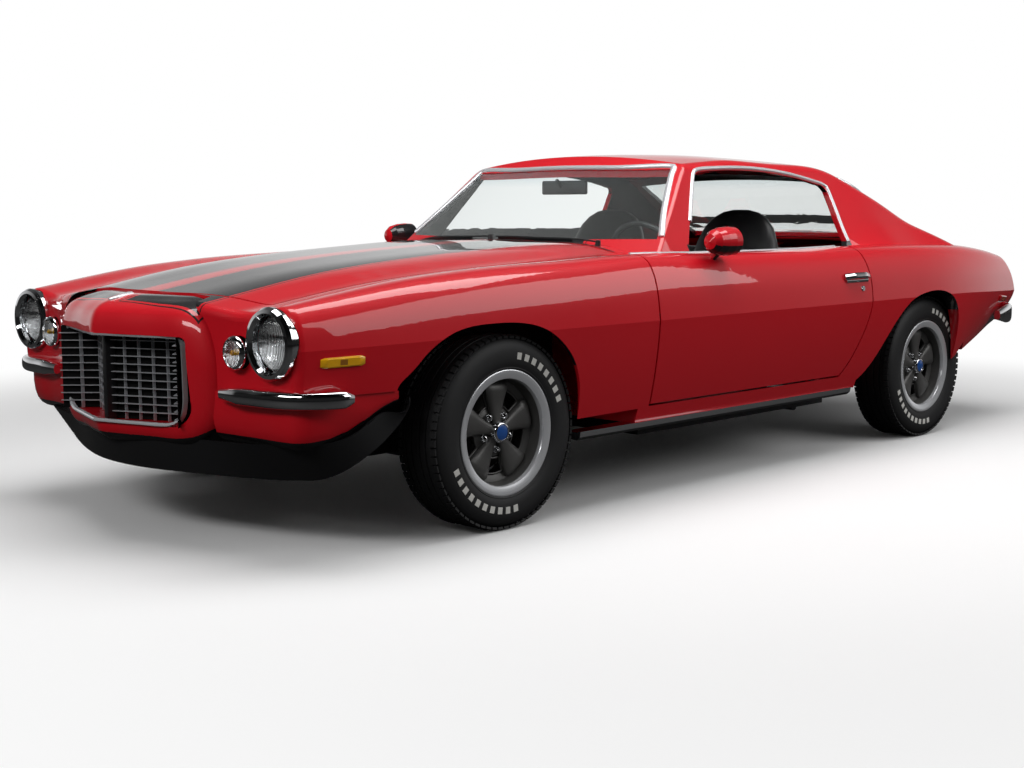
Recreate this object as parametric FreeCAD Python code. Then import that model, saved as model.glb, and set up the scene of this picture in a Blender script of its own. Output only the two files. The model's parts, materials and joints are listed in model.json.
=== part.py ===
"""A two-door muscle car of the early seventies, as an assembly of panels, glass, cabin and running gear.

Units are millimetres. X is across the car with +X on its left, Y runs from the nose (negative) to the
tail, and Z is up from the ground. The origin is on the ground, midway between nose and tail.
Stations are distances behind the front axle, because the body was measured from there.
"""

import FreeCAD
import Part

import math
import os

from FreeCAD import Vector

os.makedirs("parts", exist_ok=True)

# driving dimensions
overall_length = 4775.0
front_overhang = 1020.0
wheelbase = 2743.0
track_front = 1557.0
track_rear = 1524.0
roof_height = 1284.0
panel_wall = 10.0
roof_wall = 26.0
panel_gap = 8.0
seat_clearance = 0.3

# wheels and tyres
tyre_radius = 325.0
tyre_width = 200.0
tread_width = 170.0
bead_radius = 192.0
rim_width = 178.0
ring_radius = 208.0
hub_height = tyre_radius

# the nose's vee, as the distance it sweeps back per unit of width
nose_sweep = 0.30
grille_sweep = 0.42
parking_lamp_x = 556.0

# stations along the body
rear_overhang = overall_length - front_overhang - wheelbase
nose_station = -880.0
lamp_station = -815.0
door_front_station = 742.0
door_rear_station = wheelbase - 588.0
tail_station = wheelbase + rear_overhang - 30.0
front_axle_y = front_overhang - overall_length / 2.0

# the doors' hinge axis
hinge_x = 920.0
hinge_station = 762.0

# heights of the lower body
rocker_bottom = 286.0
crease_height = 657.0
belt_height = 884.0


def along(station):
    """The Y of a station behind the front axle."""
    return station + front_axle_y


def guide(*knots):
    """A smooth curve through (station, value) knots that doesn't overshoot between them."""
    xs = [k[0] for k in knots]
    ys = [k[1] for k in knots]
    n = len(xs)
    rises = [(ys[i + 1] - ys[i]) / (xs[i + 1] - xs[i]) for i in range(n - 1)]
    slopes = [rises[0]]
    for i in range(1, n - 1):
        a, b = rises[i - 1], rises[i]
        slopes.append(0.0 if a * b <= 0 else 2.0 * a * b / (a + b))
    slopes.append(rises[-1])

    def value(s):
        if s <= xs[0]:
            return ys[0] + slopes[0] * (s - xs[0])
        if s >= xs[-1]:
            return ys[-1] + slopes[-1] * (s - xs[-1])
        i = max(j for j in range(n - 1) if xs[j] <= s)
        h = xs[i + 1] - xs[i]
        t = (s - xs[i]) / h
        return (
            (2 * t**3 - 3 * t**2 + 1) * ys[i]
            + (t**3 - 2 * t**2 + t) * h * slopes[i]
            + (3 * t**2 - 2 * t**3) * ys[i + 1]
            + (t**3 - t**2) * h * slopes[i + 1]
        )

    return value


def spacing(points):
    """How far along its run each point lies, from 0 to 1."""
    reach = [0.0]
    for a, b in zip(points, points[1:]):
        reach.append(reach[-1] + math.dist(a, b))
    return [r / reach[-1] for r in reach]


def spline(points, spaced=None):
    """An edge through the points. Sections of one skin share one spacing, which keeps the skin simple."""
    curve = Part.BSplineCurve()
    curve.interpolate(Points=[Vector(*p) for p in points], Parameters=spaced or spacing(points))
    return curve.toShape()


def line(a, b):
    return Part.LineSegment(Vector(*a), Vector(*b)).toShape()


def closed_wire(runs, place):
    """A closed wire. A run of one point adds a straight edge and a longer one a smooth curve."""
    at = start = place(*runs[0][0])
    edges = []
    for i, run in enumerate(runs):
        points = [place(*p) for p in run]
        if i > 0:
            points = [at] + points
        if len(points) > 1:
            edges.append(line(*points) if len(points) == 2 else spline(points))
        at = points[-1]
    if math.dist(at, start) > 0.01:
        edges.append(line(at, start))
    return Part.Wire(edges)


def straight(*points):
    """Runs for an outline of straight edges."""
    return [[p] for p in points]


def grown(runs, gap):
    """The outline moved outwards by a gap, corner by corner."""
    points = [p for run in runs for p in run]
    if math.dist(points[0], points[-1]) < 0.01:
        points = points[:-1]
    n = len(points)
    area = sum(points[i - 1][0] * points[i][1] - points[i][0] * points[i - 1][1] for i in range(n))
    turn = gap if area > 0 else -gap
    moved = {}
    for i, (u, v) in enumerate(points):
        (u0, v0), (u1, v1) = points[i - 1], points[(i + 1) % n]
        a = math.hypot(u - u0, v - v0)
        b = math.hypot(u1 - u, v1 - v)
        nu = (v - v0) / a + (v1 - v) / b
        nv = -(u - u0) / a - (u1 - u) / b
        k = 2.0 * turn / max(nu * nu + nv * nv, 1.0)
        moved[(u, v)] = (u + k * nu, v + k * nv)
    return [[moved[p] for p in run] for run in runs]


def side_prism(runs, x0, x1, grow=0.0):
    """A prism from (station, height) points, running across from x0 to x1."""
    face = Part.Face(closed_wire(grown(runs, grow), lambda s, z: (x0, along(s), z)))
    return face.extrude(Vector(x1 - x0, 0, 0))


def plan_prism(runs, z0, z1, grow=0.0):
    """A prism from (x, station) points, standing from z0 to z1."""
    face = Part.Face(closed_wire(grown(runs, grow), lambda x, s: (x, along(s), z0)))
    return face.extrude(Vector(0, 0, z1 - z0))


def front_prism(runs, s0, s1, grow=0.0):
    """A prism from (x, height) points, running from one station to another."""
    face = Part.Face(closed_wire(grown(runs, grow), lambda x, z: (x, along(s0), z)))
    return face.extrude(Vector(0, s1 - s0, 0))


def box(x0, x1, s0, s1, z0, z1):
    """A block between two widths, two stations and two heights."""
    return Part.makeBox(x1 - x0, s1 - s0, z1 - z0, Vector(x0, along(s0), z0))


def cylinder(radius, length, start, axis):
    return Part.makeCylinder(radius, length, Vector(*start), Vector(*axis))


def turned(profile, centre, axis_x=True):
    """A solid of revolution from (radius, offset along the axis) points."""
    wire = Part.makePolygon([Vector(o, r, 0) for r, o in profile + [profile[0]]])
    solid = Part.Face(wire).revolve(Vector(0, 0, 0), Vector(1, 0, 0), 360)
    if not axis_x:
        solid.rotate(Vector(0, 0, 0), Vector(0, 0, 1), 90)
    solid.translate(Vector(*centre))
    return solid


def bar(points, radius):
    """A round bar through the points."""
    pieces = []
    for a, b in zip(points, points[1:]):
        a, b = Vector(*a), Vector(*b)
        pieces.append(Part.makeCylinder(radius, (b - a).Length, a, b - a))
    for p in points[1:-1]:
        pieces.append(Part.makeSphere(radius, Vector(*p)))
    return joined(pieces)


def joined(pieces):
    return pieces[0].multiFuse(pieces[1:]).removeSplitter() if len(pieces) > 1 else pieces[0]


def mirrored(shape):
    """The same shape on the car's other side."""
    return shape.mirror(Vector(0, 0, 0), Vector(1, 0, 0))


def pair(shape):
    return [shape, mirrored(shape)]


def save(name, *shapes):
    """Writes the solids of one node."""
    solids = [s for shape in shapes for s in shape.Solids]
    body = solids[0] if len(solids) == 1 else Part.makeCompound(solids)
    body.exportStep("parts/" + name + ".step")


# guides of the lower body: half-widths and heights by station
crease_x = guide((lamp_station, 826), (-600, 866), (-300, 899), (0, 916), (400, 926), (door_front_station, 931),
                 (1400, 938), (door_rear_station, 943), (wheelbase, 938), (wheelbase + 357, 910),
                 (wheelbase + 657, 866), (tail_station, 798))
crease_z = guide((lamp_station, crease_height - 9), (0, crease_height), (wheelbase, crease_height),
                 (tail_station, crease_height - 27))
crest_x = guide((lamp_station, 735), (-350, 762), (0, 776), (400, 788), (door_front_station, 800),
                (1400, 812), (door_rear_station, 812), (wheelbase, 792), (wheelbase + 357, 764),
                (wheelbase + 657, 732), (tail_station, 690))
crest_z = guide((lamp_station, 772), (-600, 806), (-350, 840), (0, 866), (400, 879), (door_front_station, 890),
                (1200, belt_height), (1700, belt_height - 3), (door_rear_station, belt_height + 3),
                (wheelbase - 243, belt_height + 3), (wheelbase, 884), (wheelbase + 257, 878),
                (wheelbase + 507, 862), (wheelbase + 757, 835), (tail_station, 800))
valley_x = guide((lamp_station, 560), (0, 610), (door_front_station, 640), (wheelbase, 660),
                 (tail_station, 560))
valley_z = guide((lamp_station, 752), (-350, 822), (0, 852), (400, 871), (door_front_station, 884),
                 (1400, 884), (wheelbase, 884), (wheelbase + 357, 872), (wheelbase + 657, 846), (tail_station, 812))
ridge_x = guide((lamp_station, 330), (0, 400), (door_front_station, 450), (wheelbase, 400), (tail_station, 330))
ridge_z = guide((lamp_station, 784), (-350, 857), (0, 887), (400, 908), (door_front_station, 920),
                (1400, 900), (wheelbase, 900), (wheelbase + 357, 900), (wheelbase + 657, 866), (tail_station, 830))
centre_z = guide((lamp_station, 792), (-350, 864), (0, 895), (400, 917), (door_front_station, 930),
                 (1400, 905), (wheelbase, 905), (wheelbase + 357, 908), (wheelbase + 657, 874), (tail_station, 838))
sill_x = guide((lamp_station, 776), (-450, 836), (0, 858), (door_front_station, 866), (door_rear_station, 872),
               (wheelbase + 200, 872), (wheelbase + 357, 850), (tail_station, 716))
sill_z = guide((lamp_station, 345), (-450, 300), (0, rocker_bottom), (wheelbase, rocker_bottom),
               (wheelbase + 257, 356), (wheelbase + 607, 430), (tail_station, 500))

body_stations = [nose_station, lamp_station, -680, -520, -350, -180, 0, 200, 400, 580, door_front_station,
                 1050, 1400, 1800, door_rear_station, wheelbase - 290, wheelbase, wheelbase + 200, wheelbase + 357,
                 wheelbase + 507, wheelbase + 657, wheelbase + 800, tail_station]


def inset(points, t):
    """The open run of points moved inwards by t, square to the run, in the plane of the section."""
    moved = []
    for i, (x, z) in enumerate(points):
        x0, z0 = points[max(i - 1, 0)]
        x1, z1 = points[min(i + 1, len(points) - 1)]
        dx, dz = x1 - x0, z1 - z0
        d = math.hypot(dx, dz)
        moved.append((x - t * dz / d, z + t * dx / d) if d else (x, z))
    return moved


def side_run(s):
    """The half section of the skin from the sill up over the shoulder to the centre line."""
    xc, zc = crease_x(s), crease_z(s)
    xt, zt = crest_x(s), crest_z(s)
    w, h = xc - xt, zt - zc
    xs, zs = sill_x(s), sill_z(s)
    lower = [(xs, zs), (xs + 0.60 * (xc - xs), zs + 0.45 * (zc - zs)), (xc, zc)]
    upper = [
        (xc, zc),
        (xc - 0.08 * w, zc + 0.36 * h),
        (xc - 0.25 * w, zc + 0.70 * h),
        (xc - 0.52 * w, zc + 0.92 * h),
        (xt, zt),
        (0.5 * (xt + valley_x(s)), 0.5 * (zt + valley_z(s)) - 1.0),
        (valley_x(s), valley_z(s)),
        (0.5 * (valley_x(s) + ridge_x(s)), 0.42 * valley_z(s) + 0.58 * ridge_z(s)),
        (ridge_x(s), ridge_z(s)),
        (0.5 * ridge_x(s), 0.3 * ridge_z(s) + 0.7 * centre_z(s)),
        (0.0, centre_z(s)),
    ]
    return lower, upper


def body_runs(s, t, floor):
    """The skin's runs at a station: up the left side, over the top and down the right side."""
    lower, upper = side_run(s)
    if t:
        whole = inset(lower[:-1] + upper, t)
        lower, upper = whole[: len(lower)], whole[len(lower) - 1 :]
        upper[-1] = (0.0, upper[-1][1])
    y = along(s)
    if floor is not None:
        lower = [(lower[0][0], floor)] + lower[1:]
    left_low = [(x, y, z) for x, z in lower]
    over = [(x, y, z) for x, z in upper] + [(-x, y, z) for x, z in reversed(upper[:-1])]
    right_low = [(-x, y, z) for x, y, z in reversed(left_low)]
    return left_low, over, right_low


def body_section(s, t=0.0, floor=None):
    """The closed wire of the lower body at a station, its skin moved in by t."""
    runs = body_runs(s, t, floor)
    model = body_runs(1400, t, floor)
    edges = [spline(run, spacing(like)) for run, like in zip(runs, model)]
    return Part.Wire(edges + [line(runs[2][-1], runs[0][0])])


def lower_body(t=0.0, floor=None):
    return Part.makeLoft([body_section(s, t, floor) for s in body_stations], True, False, False, 5)


def greenhouse_side(t):
    """The cabin's sides as one solid: tumblehome beside the doors, flaring into the quarters behind them."""
    heights = [780, 880, 950, 1040, 1144, 1190, 1310]
    beside_doors = [770, 738, 706, 667, 620, 600, 546]
    sail_panels = [860, 800, 742, 690, 630, 602, 546]
    sections = []
    for s in [640, 900, 1200, 1600, 1950, 2150, 2300, 2450, 2650, 2900, 3150, 3450]:
        f = min(max((s - 2130.0) / 360.0, 0.0), 1.0)
        f = f * f * (3.0 - 2.0 * f)
        half = [a + f * (b - a) - t for a, b in zip(beside_doors, sail_panels)]
        y = along(s)
        left = [(x, y, z) for x, z in zip(half, heights)]
        right = [(-x, y, z) for x, y, z in reversed(left)]
        rise = spacing([(h,) for h in heights])
        fall = spacing([(h,) for h in reversed(heights)])
        edges = [spline(left, rise), line(left[-1], right[0]), spline(right, fall), line(right[-1], left[0])]
        sections.append(Part.Wire(edges))
    return Part.makeLoft(sections, True, False, False, 5)


def greenhouse_top(t):
    """Everything under the crowned roof and the backlight's slope."""
    profile = guide((600, 1210), (1000, 1250), (1240, 1266), (1450, 1279), (1750, roof_height), (2050, 1276),
                    (2230, 1257), (2350, 1225), (2450, 1178), (2610, 1098), (2710, 1048), (2900, 966),
                    (3050, 908), (3200, 852), (3450, 760))
    sections = []
    for s in [640, 1000, 1240, 1450, 1750, 2050, 2230, 2350, 2450, 2610, 2710, 2900, 3050, 3200, 3450]:
        crown = 50.0 - 36.0 * min(max((s - 2050.0) / 500.0, 0.0), 1.0)
        y = along(s)
        across = (900, 600, 300, 0, -300, -600, -900)
        over = [(x, y, profile(s) - t - crown * (x / 620.0) ** 2) for x in across]
        edges = [spline(over, spacing([(x,) for x in across])), line(over[-1], (-900, y, 700)),
                 line((-900, y, 700), (900, y, 700)), line((900, y, 700), over[0])]
        sections.append(Part.Wire(edges))
    return Part.makeLoft(sections, True, False, False, 5)


def windshield_station(x, z):
    """Where the windshield's outer face is, bowed across the car and raked back."""
    return 860.0 + 1.145 * (z - 909.0) + 205.0 * (x / 1000.0) ** 2


def behind_windshield(t):
    """Everything behind the windshield's outer face, moved back by t."""
    wires = []
    for z in (760.0, 1330.0):
        bow = [(x, along(windshield_station(x, z) + t), z) for x in (900, 600, 300, 0, -300, -600, -900)]
        end = along(3600.0)
        edges = [spline(bow), line(bow[-1], (-900, end, z)), line((-900, end, z), (900, end, z)),
                 line((900, end, z), bow[0])]
        wires.append(Part.Wire(edges))
    return Part.makeLoft(wires, True, True)


def greenhouse(t=0.0):
    under = greenhouse_side(t).common(greenhouse_top(t))
    if not t:
        under = rounded(under, roof_side_edge, 52.0)
    shape = under.common(behind_windshield(t * 1.4))
    if not t:
        shape = rounded(shape, pillar_edge, 16.0)
    return shape


def rounded(shape, wanted, radius):
    """Fillets the edges that the test picks."""
    edges = [e for e in shape.Edges if wanted(e)]
    return shape.makeFillet(radius, edges)


def roof_side_edge(e):
    """The long edges between the roof and the cabin's sides."""
    b = e.BoundBox
    return b.YLength > 1500 and b.ZMin > 700 and 400 < abs(b.Center.x) < 760 and b.ZMax > 1100


def pillar_edge(e):
    """The edges round the windshield's face."""
    p = e.valueAt(0.5 * (e.FirstParameter + e.LastParameter))
    s = p.y - front_axle_y
    b = e.BoundBox
    on_face = abs(s - windshield_station(p.x, p.z)) < 1.0
    return on_face and b.ZMax > 1000 and b.ZMin > 740 and s < 1330 and b.YLength > 1


# outlines of the openings and panels, as (station, height) or (x, station) runs
front_arch = [[(-470, 200), (-472, 480)], [(-471, 519), (-427, 560), (-372, 612), (-304, 657), (-223, 684),
              (-105, 694), (16, 690), (130, 664), (218, 612), (286, 540), (318, 470), (331, 400), (336, 330)],
              [(336, 200)]]
rear_arch = [[(2100, 200), (2108, 318)], [(2185, 372), (2290, 495), (2388, 595), (2466, 645), (2570, 672),
             (2678, 680), (2796, 664), (2880, 622), (2925, 560), (2945, 490), (2955, 400), (2958, 350)],
             [(2958, 200)]]
door_outline = [[(722, 352), (722, 960)], [(2104, 960)], [(2104, 884), (2120, 800), (2128, 700), (2120, 620),
                (2070, 500), (2005, 400), (1958, 352)]]
door_inner_outline = [[(732, 362), (732, 960)], [(2080, 960)], [(2080, 884), (2096, 800), (2104, 700),
                      (2096, 620), (2046, 500), (1985, 400), (1946, 362)]]
window_outline = [[(1135, 870), (1135, 905)], [(1318, 1176)], [(1350, 1192), (1400, 1199), (1649, 1206),
                  (1850, 1198), (2020, 1180), (2190, 1150)], [(2225, 1138), (2238, 1118)], [(2238, 905)],
                  [(2225, 884)], [(2210, 870)]]
hood_outline = [[(0, -793), (300, -765), (470, -730), (560, -706)], [(585, -300), (625, 300), (655, 828)],
                [(400, 790), (0, 752), (-400, 790), (-655, 828)], [(-625, 300), (-585, -300), (-560, -706)],
                [(-470, -730), (-300, -765), (0, -793)]]
deck_outline = [[(0, 3062), (300, 3050), (610, 2998)], [(628, 3300), (628, 3800)], [(-628, 3800)],
                [(-628, 3300), (-610, 2998)], [(-300, 3050), (0, 3062)]]
nose_outline = [[(-300, 820), (300, 820)], [(372, 768)],
                [(408, 735), (442, 680), (460, 600), (462, 520), (455, 430), (420, 365), (372, 318)],
                [(310, 270)], [(-310, 270)], [(-372, 318)],
                [(-420, 365), (-455, 430), (-462, 520), (-460, 600), (-442, 680), (-408, 735), (-372, 768)]]
grille_opening = [[(-356, 670), (356, 670)], [(372, 662), (378, 645)], [(386, 470)], [(380, 430), (350, 400),
                  (300, 386)], [(-300, 386)], [(-350, 400), (-380, 430), (-386, 470)], [(-378, 645)],
                  [(-372, 662), (-356, 670)]]
front_face = [[(-1000, -812), (-720, -815), (-620, -820), (-530, -832), (-470, -848), (-400, -862), (0, -868),
              (400, -862), (470, -848), (530, -832), (620, -820), (720, -815), (1000, -812)],
              [(1000, 4000)], [(-1000, 4000)]]


tunnel_outline = [(-150, 190), (-150, 330), (-100, 380), (100, 380), (150, 330), (150, 190)]
fender_zone = side_prism(straight((-1000, 508), (-380, 508), (-380, 352), (714, 352), (714, 1000),
                                  (-1000, 1000)), 300, 1000)
header_zone = plan_prism(straight((-580, -1100), (580, -1100), (580, -690), (-580, -690)), 736, 900)
dam_line = side_prism(straight((-1100, 352), (-760, 352), (-681, 359), (-583, 403), (-470, 470), (-388, 504),
                               (-370, 504), (-370, 100), (-1100, 100)), -1000, 1000)

# the middle of the steering wheel and the column's lean from upright
wheel_centre = (370, along(1330), 815)
column_lean = 68.0


def tail_profile(t):
    """The side view behind which the tail is cut away."""
    return [[(-1000, 0), (-1000, 1400)], [(3560 - t, 1400)], [(3560 - t, 870)],
            [(3630 - t, 800), (3678 - t, 735), (3712 - t, 670), (3724 - t, 615), (3716 - t, 560),
             (3668 - t, 508), (3590 - t, 470)], [(3590 - t, 0)]]


def body_mass(t):
    """The whole closed body, its skin moved in by t."""
    lower = lower_body(t, 150.0 if t else None)
    lower = lower.common(side_prism(tail_profile(t), -1000, 1000))
    front = plan_prism(front_face, 100, 1400)
    front.translate(Vector(0, t, 0))
    lower = lower.common(front)
    return rounded(lower, nose_corner, 32.0 - t)


def nose_corner(e):
    """The upright and top edges round the fenders' front faces."""
    b = e.BoundBox
    s = b.Center.y - front_axle_y
    return s < -790 and b.YLength < 90 and b.ZMax > 400 and b.ZLength > 5


def both_sides(shape):
    return joined([shape, mirrored(shape)])


def door_space(runs, grow=0.0):
    """The room a door takes out of the left side, clear of the windshield pillar's foot."""
    outer = side_prism(runs, 600, 1000, grow)
    profile = [(754 - grow, 1000), (754 - grow, 862), (600, 845), (600, 300), (1000, 300), (1000, 1000)]
    foot = front_prism(straight(*profile), 600, 2300)
    return outer.common(foot)


def window_space(grow=0.0):
    return side_prism(window_outline, 480, 800, grow)


def cavities(inner, inner_house):
    """The engine bay, the cabin, the boot and the wheels' room, to be taken out of the closed body."""
    bay = inner.common(box(-1000, 1000, -900, 655, 100, 1000))
    half = [(0, 205), (716, 205), (716, 378), (826, 378), (826, 700), (741, 845), (0, 845)]
    cabin_outline = half + [(-x, z) for x, z in reversed(half[1:-1])]
    cabin = front_prism(straight(*cabin_outline), 700, 2108)
    rear_half = [(-630, 205), (630, 205), (630, 862), (-630, 862)]
    rear_cabin = front_prism(straight(*rear_half), 2100, 2990)
    boot = inner.common(box(-630, 630, 2985, 3760, 100, 1000))
    house = inner_house.common(box(-1000, 1000, 860, 3200, 800, 1400))
    belt_slot = both_sides(box(560, 760, 1135, 2096, 840, 890))
    tunnel = front_prism(straight(*tunnel_outline), 640, 710, 0.3)
    return bay, cabin, rear_cabin, boot, house, belt_slot, tunnel


def wheel_room():
    """The four wheel openings, and the room for the tyres inboard of the skins."""
    front = side_prism(front_arch, 470, 1000)
    rear = side_prism(rear_arch, 645, 1000)
    rear_tyre = cylinder(tyre_radius + 22, 222, (645, along(wheelbase), hub_height), (1, 0, 0))
    axle = box(600, 660, wheelbase - 60, wheelbase + 60, 100, 400)
    return [both_sides(front), both_sides(rear), both_sides(rear_tyre), both_sides(axle)]


def lamp_places():
    """Round recesses for the head and parking lamps."""
    head = cylinder(103, 160, (718, along(-860), 666), (0, 1, 0))
    park = cylinder(51.3, 110, (parking_lamp_x, along(-880), 631), (0, 1, 0))
    return [both_sides(head), both_sides(park)]


def tail_lamp_places():
    """Two round recesses a side in the tail panel."""
    return [both_sides(cylinder(56.3, 200, (x, along(3655), 624), (0, 1, 0))) for x in (478, 650)]


def glass_space(back, t0, t1):
    """The windshield's or the backlight's opening, cut right through the roof skin."""
    if back:
        runs = [[(-560, 2405), (0, 2392), (560, 2405)], [(640, 2960)], [(300, 2990), (0, 2998), (-300, 2990),
                (-640, 2960)]]
    else:
        runs = [[(-690, 990), (-350, 912), (0, 880), (350, 912), (690, 990)], [(545, 1262)],
                [(280, 1218), (0, 1206), (-280, 1218), (-545, 1262)]]
    return plan_prism(runs, t0, t1)


def nose_solid():
    """The moulded nose: a blunt vee in plan whose flanks, top and bottom all roll back."""
    rows = [(303, -850, 310), (308, -905, 335), (320, -952, 366), (346, -984, 400), (400, -1000, 440),
            (500, -1006, 462), (600, -1011, 460), (660, -1010, 446), (706, -1004, 428), (738, -990, 404),
            (764, -956, 372), (779, -905, 338), (788, -846, 312)]
    sections = []
    for z, front, wide in rows:
        reach = front + nose_sweep * wide
        half = [(wide, -690), (wide, reach + 62), (wide - 4, reach + 34), (wide - 16, reach + 11),
                (wide - 40, reach - 10), (0.62 * wide, front + 0.62 * nose_sweep * wide),
                (0.3 * wide, front + 0.3 * nose_sweep * wide),
                (0.08 * wide, front + 0.08 * nose_sweep * wide + 2)]
        points = half + [(0, front + 5)] + [(-x, s) for x, s in reversed(half)]
        run = [(x, along(s), z) for x, s in points]
        sections.append(Part.Wire([spline(run), line(run[-1], run[0])]))
    return Part.makeLoft(sections, True, False, False, 5).cut(box(-700, 700, -790, -600, 200, 900))


def nose_opening():
    """The grille's opening, as deep as the vee of the insert."""
    back = grille_back(400) + seat_clearance
    vee = [[(0, grille_back(0) + seat_clearance), (400, back)], [(400, -1100)], [(-400, -1100)], [(-400, back)]]
    return front_prism(grille_opening, -1100, -700).common(plan_prism(vee, 300, 800))


def grille_back(x):
    """The station of the insert's back at a half-width."""
    return -922.0 + grille_sweep * abs(x)


def grille_insert():
    """Crossed bars in a vee, with a post at the prow and flared side walls."""
    pieces = []
    for side in (1, -1):
        end = side * 262
        for k in range(9):
            z = 402 + k * 31.0
            outline = [[(0, -934)], [(end, grille_back(end) - 12)], [(end, grille_back(end) - 2)], [(0, -924)]]
            pieces.append(plan_prism(outline, z - 2.5, z + 2.5))
        for k in range(1, 5):
            x = side * k * 54.0
            pieces.append(box(x - 2, x + 2, grille_back(x) - 16, grille_back(abs(x) - 2), 388.3, 669.7))
        flare = [[(end, grille_back(end) - 12)], [(side * 354, -915)], [(side * 354, grille_back(354))],
                 [(end, grille_back(end))]]
        pieces.append(plan_prism(flare, 388.3, 669.7))
    pieces.append(box(-14, 14, -946, grille_back(0), 388.3, 669.7))
    return joined(pieces).common(front_prism(grille_opening, -1100, -700, -seat_clearance))


def bumper_section(place, square, deep, tall):
    """The twelve-sided outline of a bumper bar, square to its path."""
    loop = []
    for k in range(12):
        w = deep * math.cos(k * math.pi / 6)
        h = tall * math.sin(k * math.pi / 6)
        loop.append(Vector(place[0] - square[0] * w, along(place[1]) - square[1] * w, place[2] + h))
    return Part.makePolygon(loop + [loop[0]])


def bumperette():
    """The left front bumper: a short bar round the corner, full-faced and rounded."""
    path = [(0, 500, -862), (0.12, 560, -856), (0.3, 640, -846), (0.5, 730, -838), (0.65, 800, -812),
            (0.8, 850, -762), (0.9, 875, -712), (1, 889, -655)]
    sections = []
    for i, (u, x, s) in enumerate(path):
        _, x0, s0 = path[max(i - 1, 0)]
        _, x1, s1 = path[min(i + 1, len(path) - 1)]
        d = math.hypot(x1 - x0, s1 - s0)
        nx, ny = -(s1 - s0) / d, (x1 - x0) / d
        tall = 32.0 - 14.0 * max(0.0, 1 - u * 6) - 12.0 * max(0.0, (u - 0.85) / 0.15)
        deep = 20.0 - 8.0 * max(0.0, (u - 0.85) / 0.15)
        sections.append(bumper_section((x, s, 503), (nx, ny), deep, tall))
    return Part.makeLoft(sections, True, True)


def rear_bumper():
    """The rear bumper: one bar across the tail and round both corners."""
    half = [(0, 3741), (250, 3741), (480, 3738), (640, 3730), (740, 3708), (800, 3662), (826, 3600), (842, 3520),
            (856, 3430)]
    path = [(-x, s) for x, s in reversed(half[1:])] + half
    sections = []
    for i, (x, s) in enumerate(path):
        x0, s0 = path[max(i - 1, 0)]
        x1, s1 = path[min(i + 1, len(path) - 1)]
        d = math.hypot(x1 - x0, s1 - s0)
        nx, ny = -(s1 - s0) / d, (x1 - x0) / d
        end = max(0.0, (abs(x) - 830) / 30.0)
        tall, deep = 46.0 - 22.0 * min(end, 1.0), 14.0 - 5.0 * min(end, 1.0)
        sections.append(bumper_section((x, s, 520), (nx, ny), deep, tall))
    return Part.makeLoft(sections, True, True)


def air_dam():
    """The black dam under the nose, curling back round both corners."""
    top = [(845, -405, 484), (846, -500, 444), (842, -590, 404), (826, -668, 372), (775, -738, 362),
           (690, -782, 356), (560, -822, 352), (380, -862, 350), (200, -915, 350), (0, -940, 350)]
    low = [(843, -398, 478), (845, -480, 374), (838, -560, 320), (812, -615, 282), (760, -665, 250),
           (680, -705, 238), (560, -755, 234), (380, -828, 236), (200, -885, 236), (0, -910, 236)]
    rows = [(a, b) for a, b in zip(top, low)]
    rows += [((-a[0], a[1], a[2]), (-b[0], b[1], b[2])) for a, b in reversed(rows[:-1])]
    sections = []
    for i, (a, b) in enumerate(rows):
        p = rows[max(i - 1, 0)][0]
        q = rows[min(i + 1, len(rows) - 1)][0]
        d = math.hypot(q[0] - p[0], q[1] - p[1])
        nx, ny = -(q[1] - p[1]) / d * 8.0, (q[0] - p[0]) / d * 8.0
        ring = [(a[0], a[1]), (b[0], b[1]), (b[0] + nx, b[1] + ny), (a[0] + nx, a[1] + ny)]
        if (nx * a[0] + ny * (a[1] - 500)) > 0:
            ring = [(a[0], a[1]), (b[0], b[1]), (b[0] - nx, b[1] - ny), (a[0] - nx, a[1] - ny)]
        heights = (a[2], b[2], b[2], a[2])
        sections.append(Part.makePolygon([Vector(x, along(s), z) for (x, s), z in zip(ring, heights)]
                                         + [Vector(ring[0][0], along(ring[0][1]), heights[0])]))
    return Part.makeLoft(sections, True, False)


def tyre(x, s):
    half, tread, bead = tyre_width / 2.0, tread_width / 2.0, rim_width / 2.0
    r = tyre_radius
    profile = [(bead_radius, -bead + 6), (bead_radius + 22, -bead - 1), (r - 72, -half), (r - 30, -half + 4),
               (r - 9, -tread), (r - 2, -tread + 14), (r, -20), (r, 20), (r - 2, tread - 14), (r - 9, tread),
               (r - 30, half - 4), (r - 72, half), (bead_radius + 22, bead + 1), (bead_radius, bead - 6)]
    return turned(profile, (x, along(s), hub_height))


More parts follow.
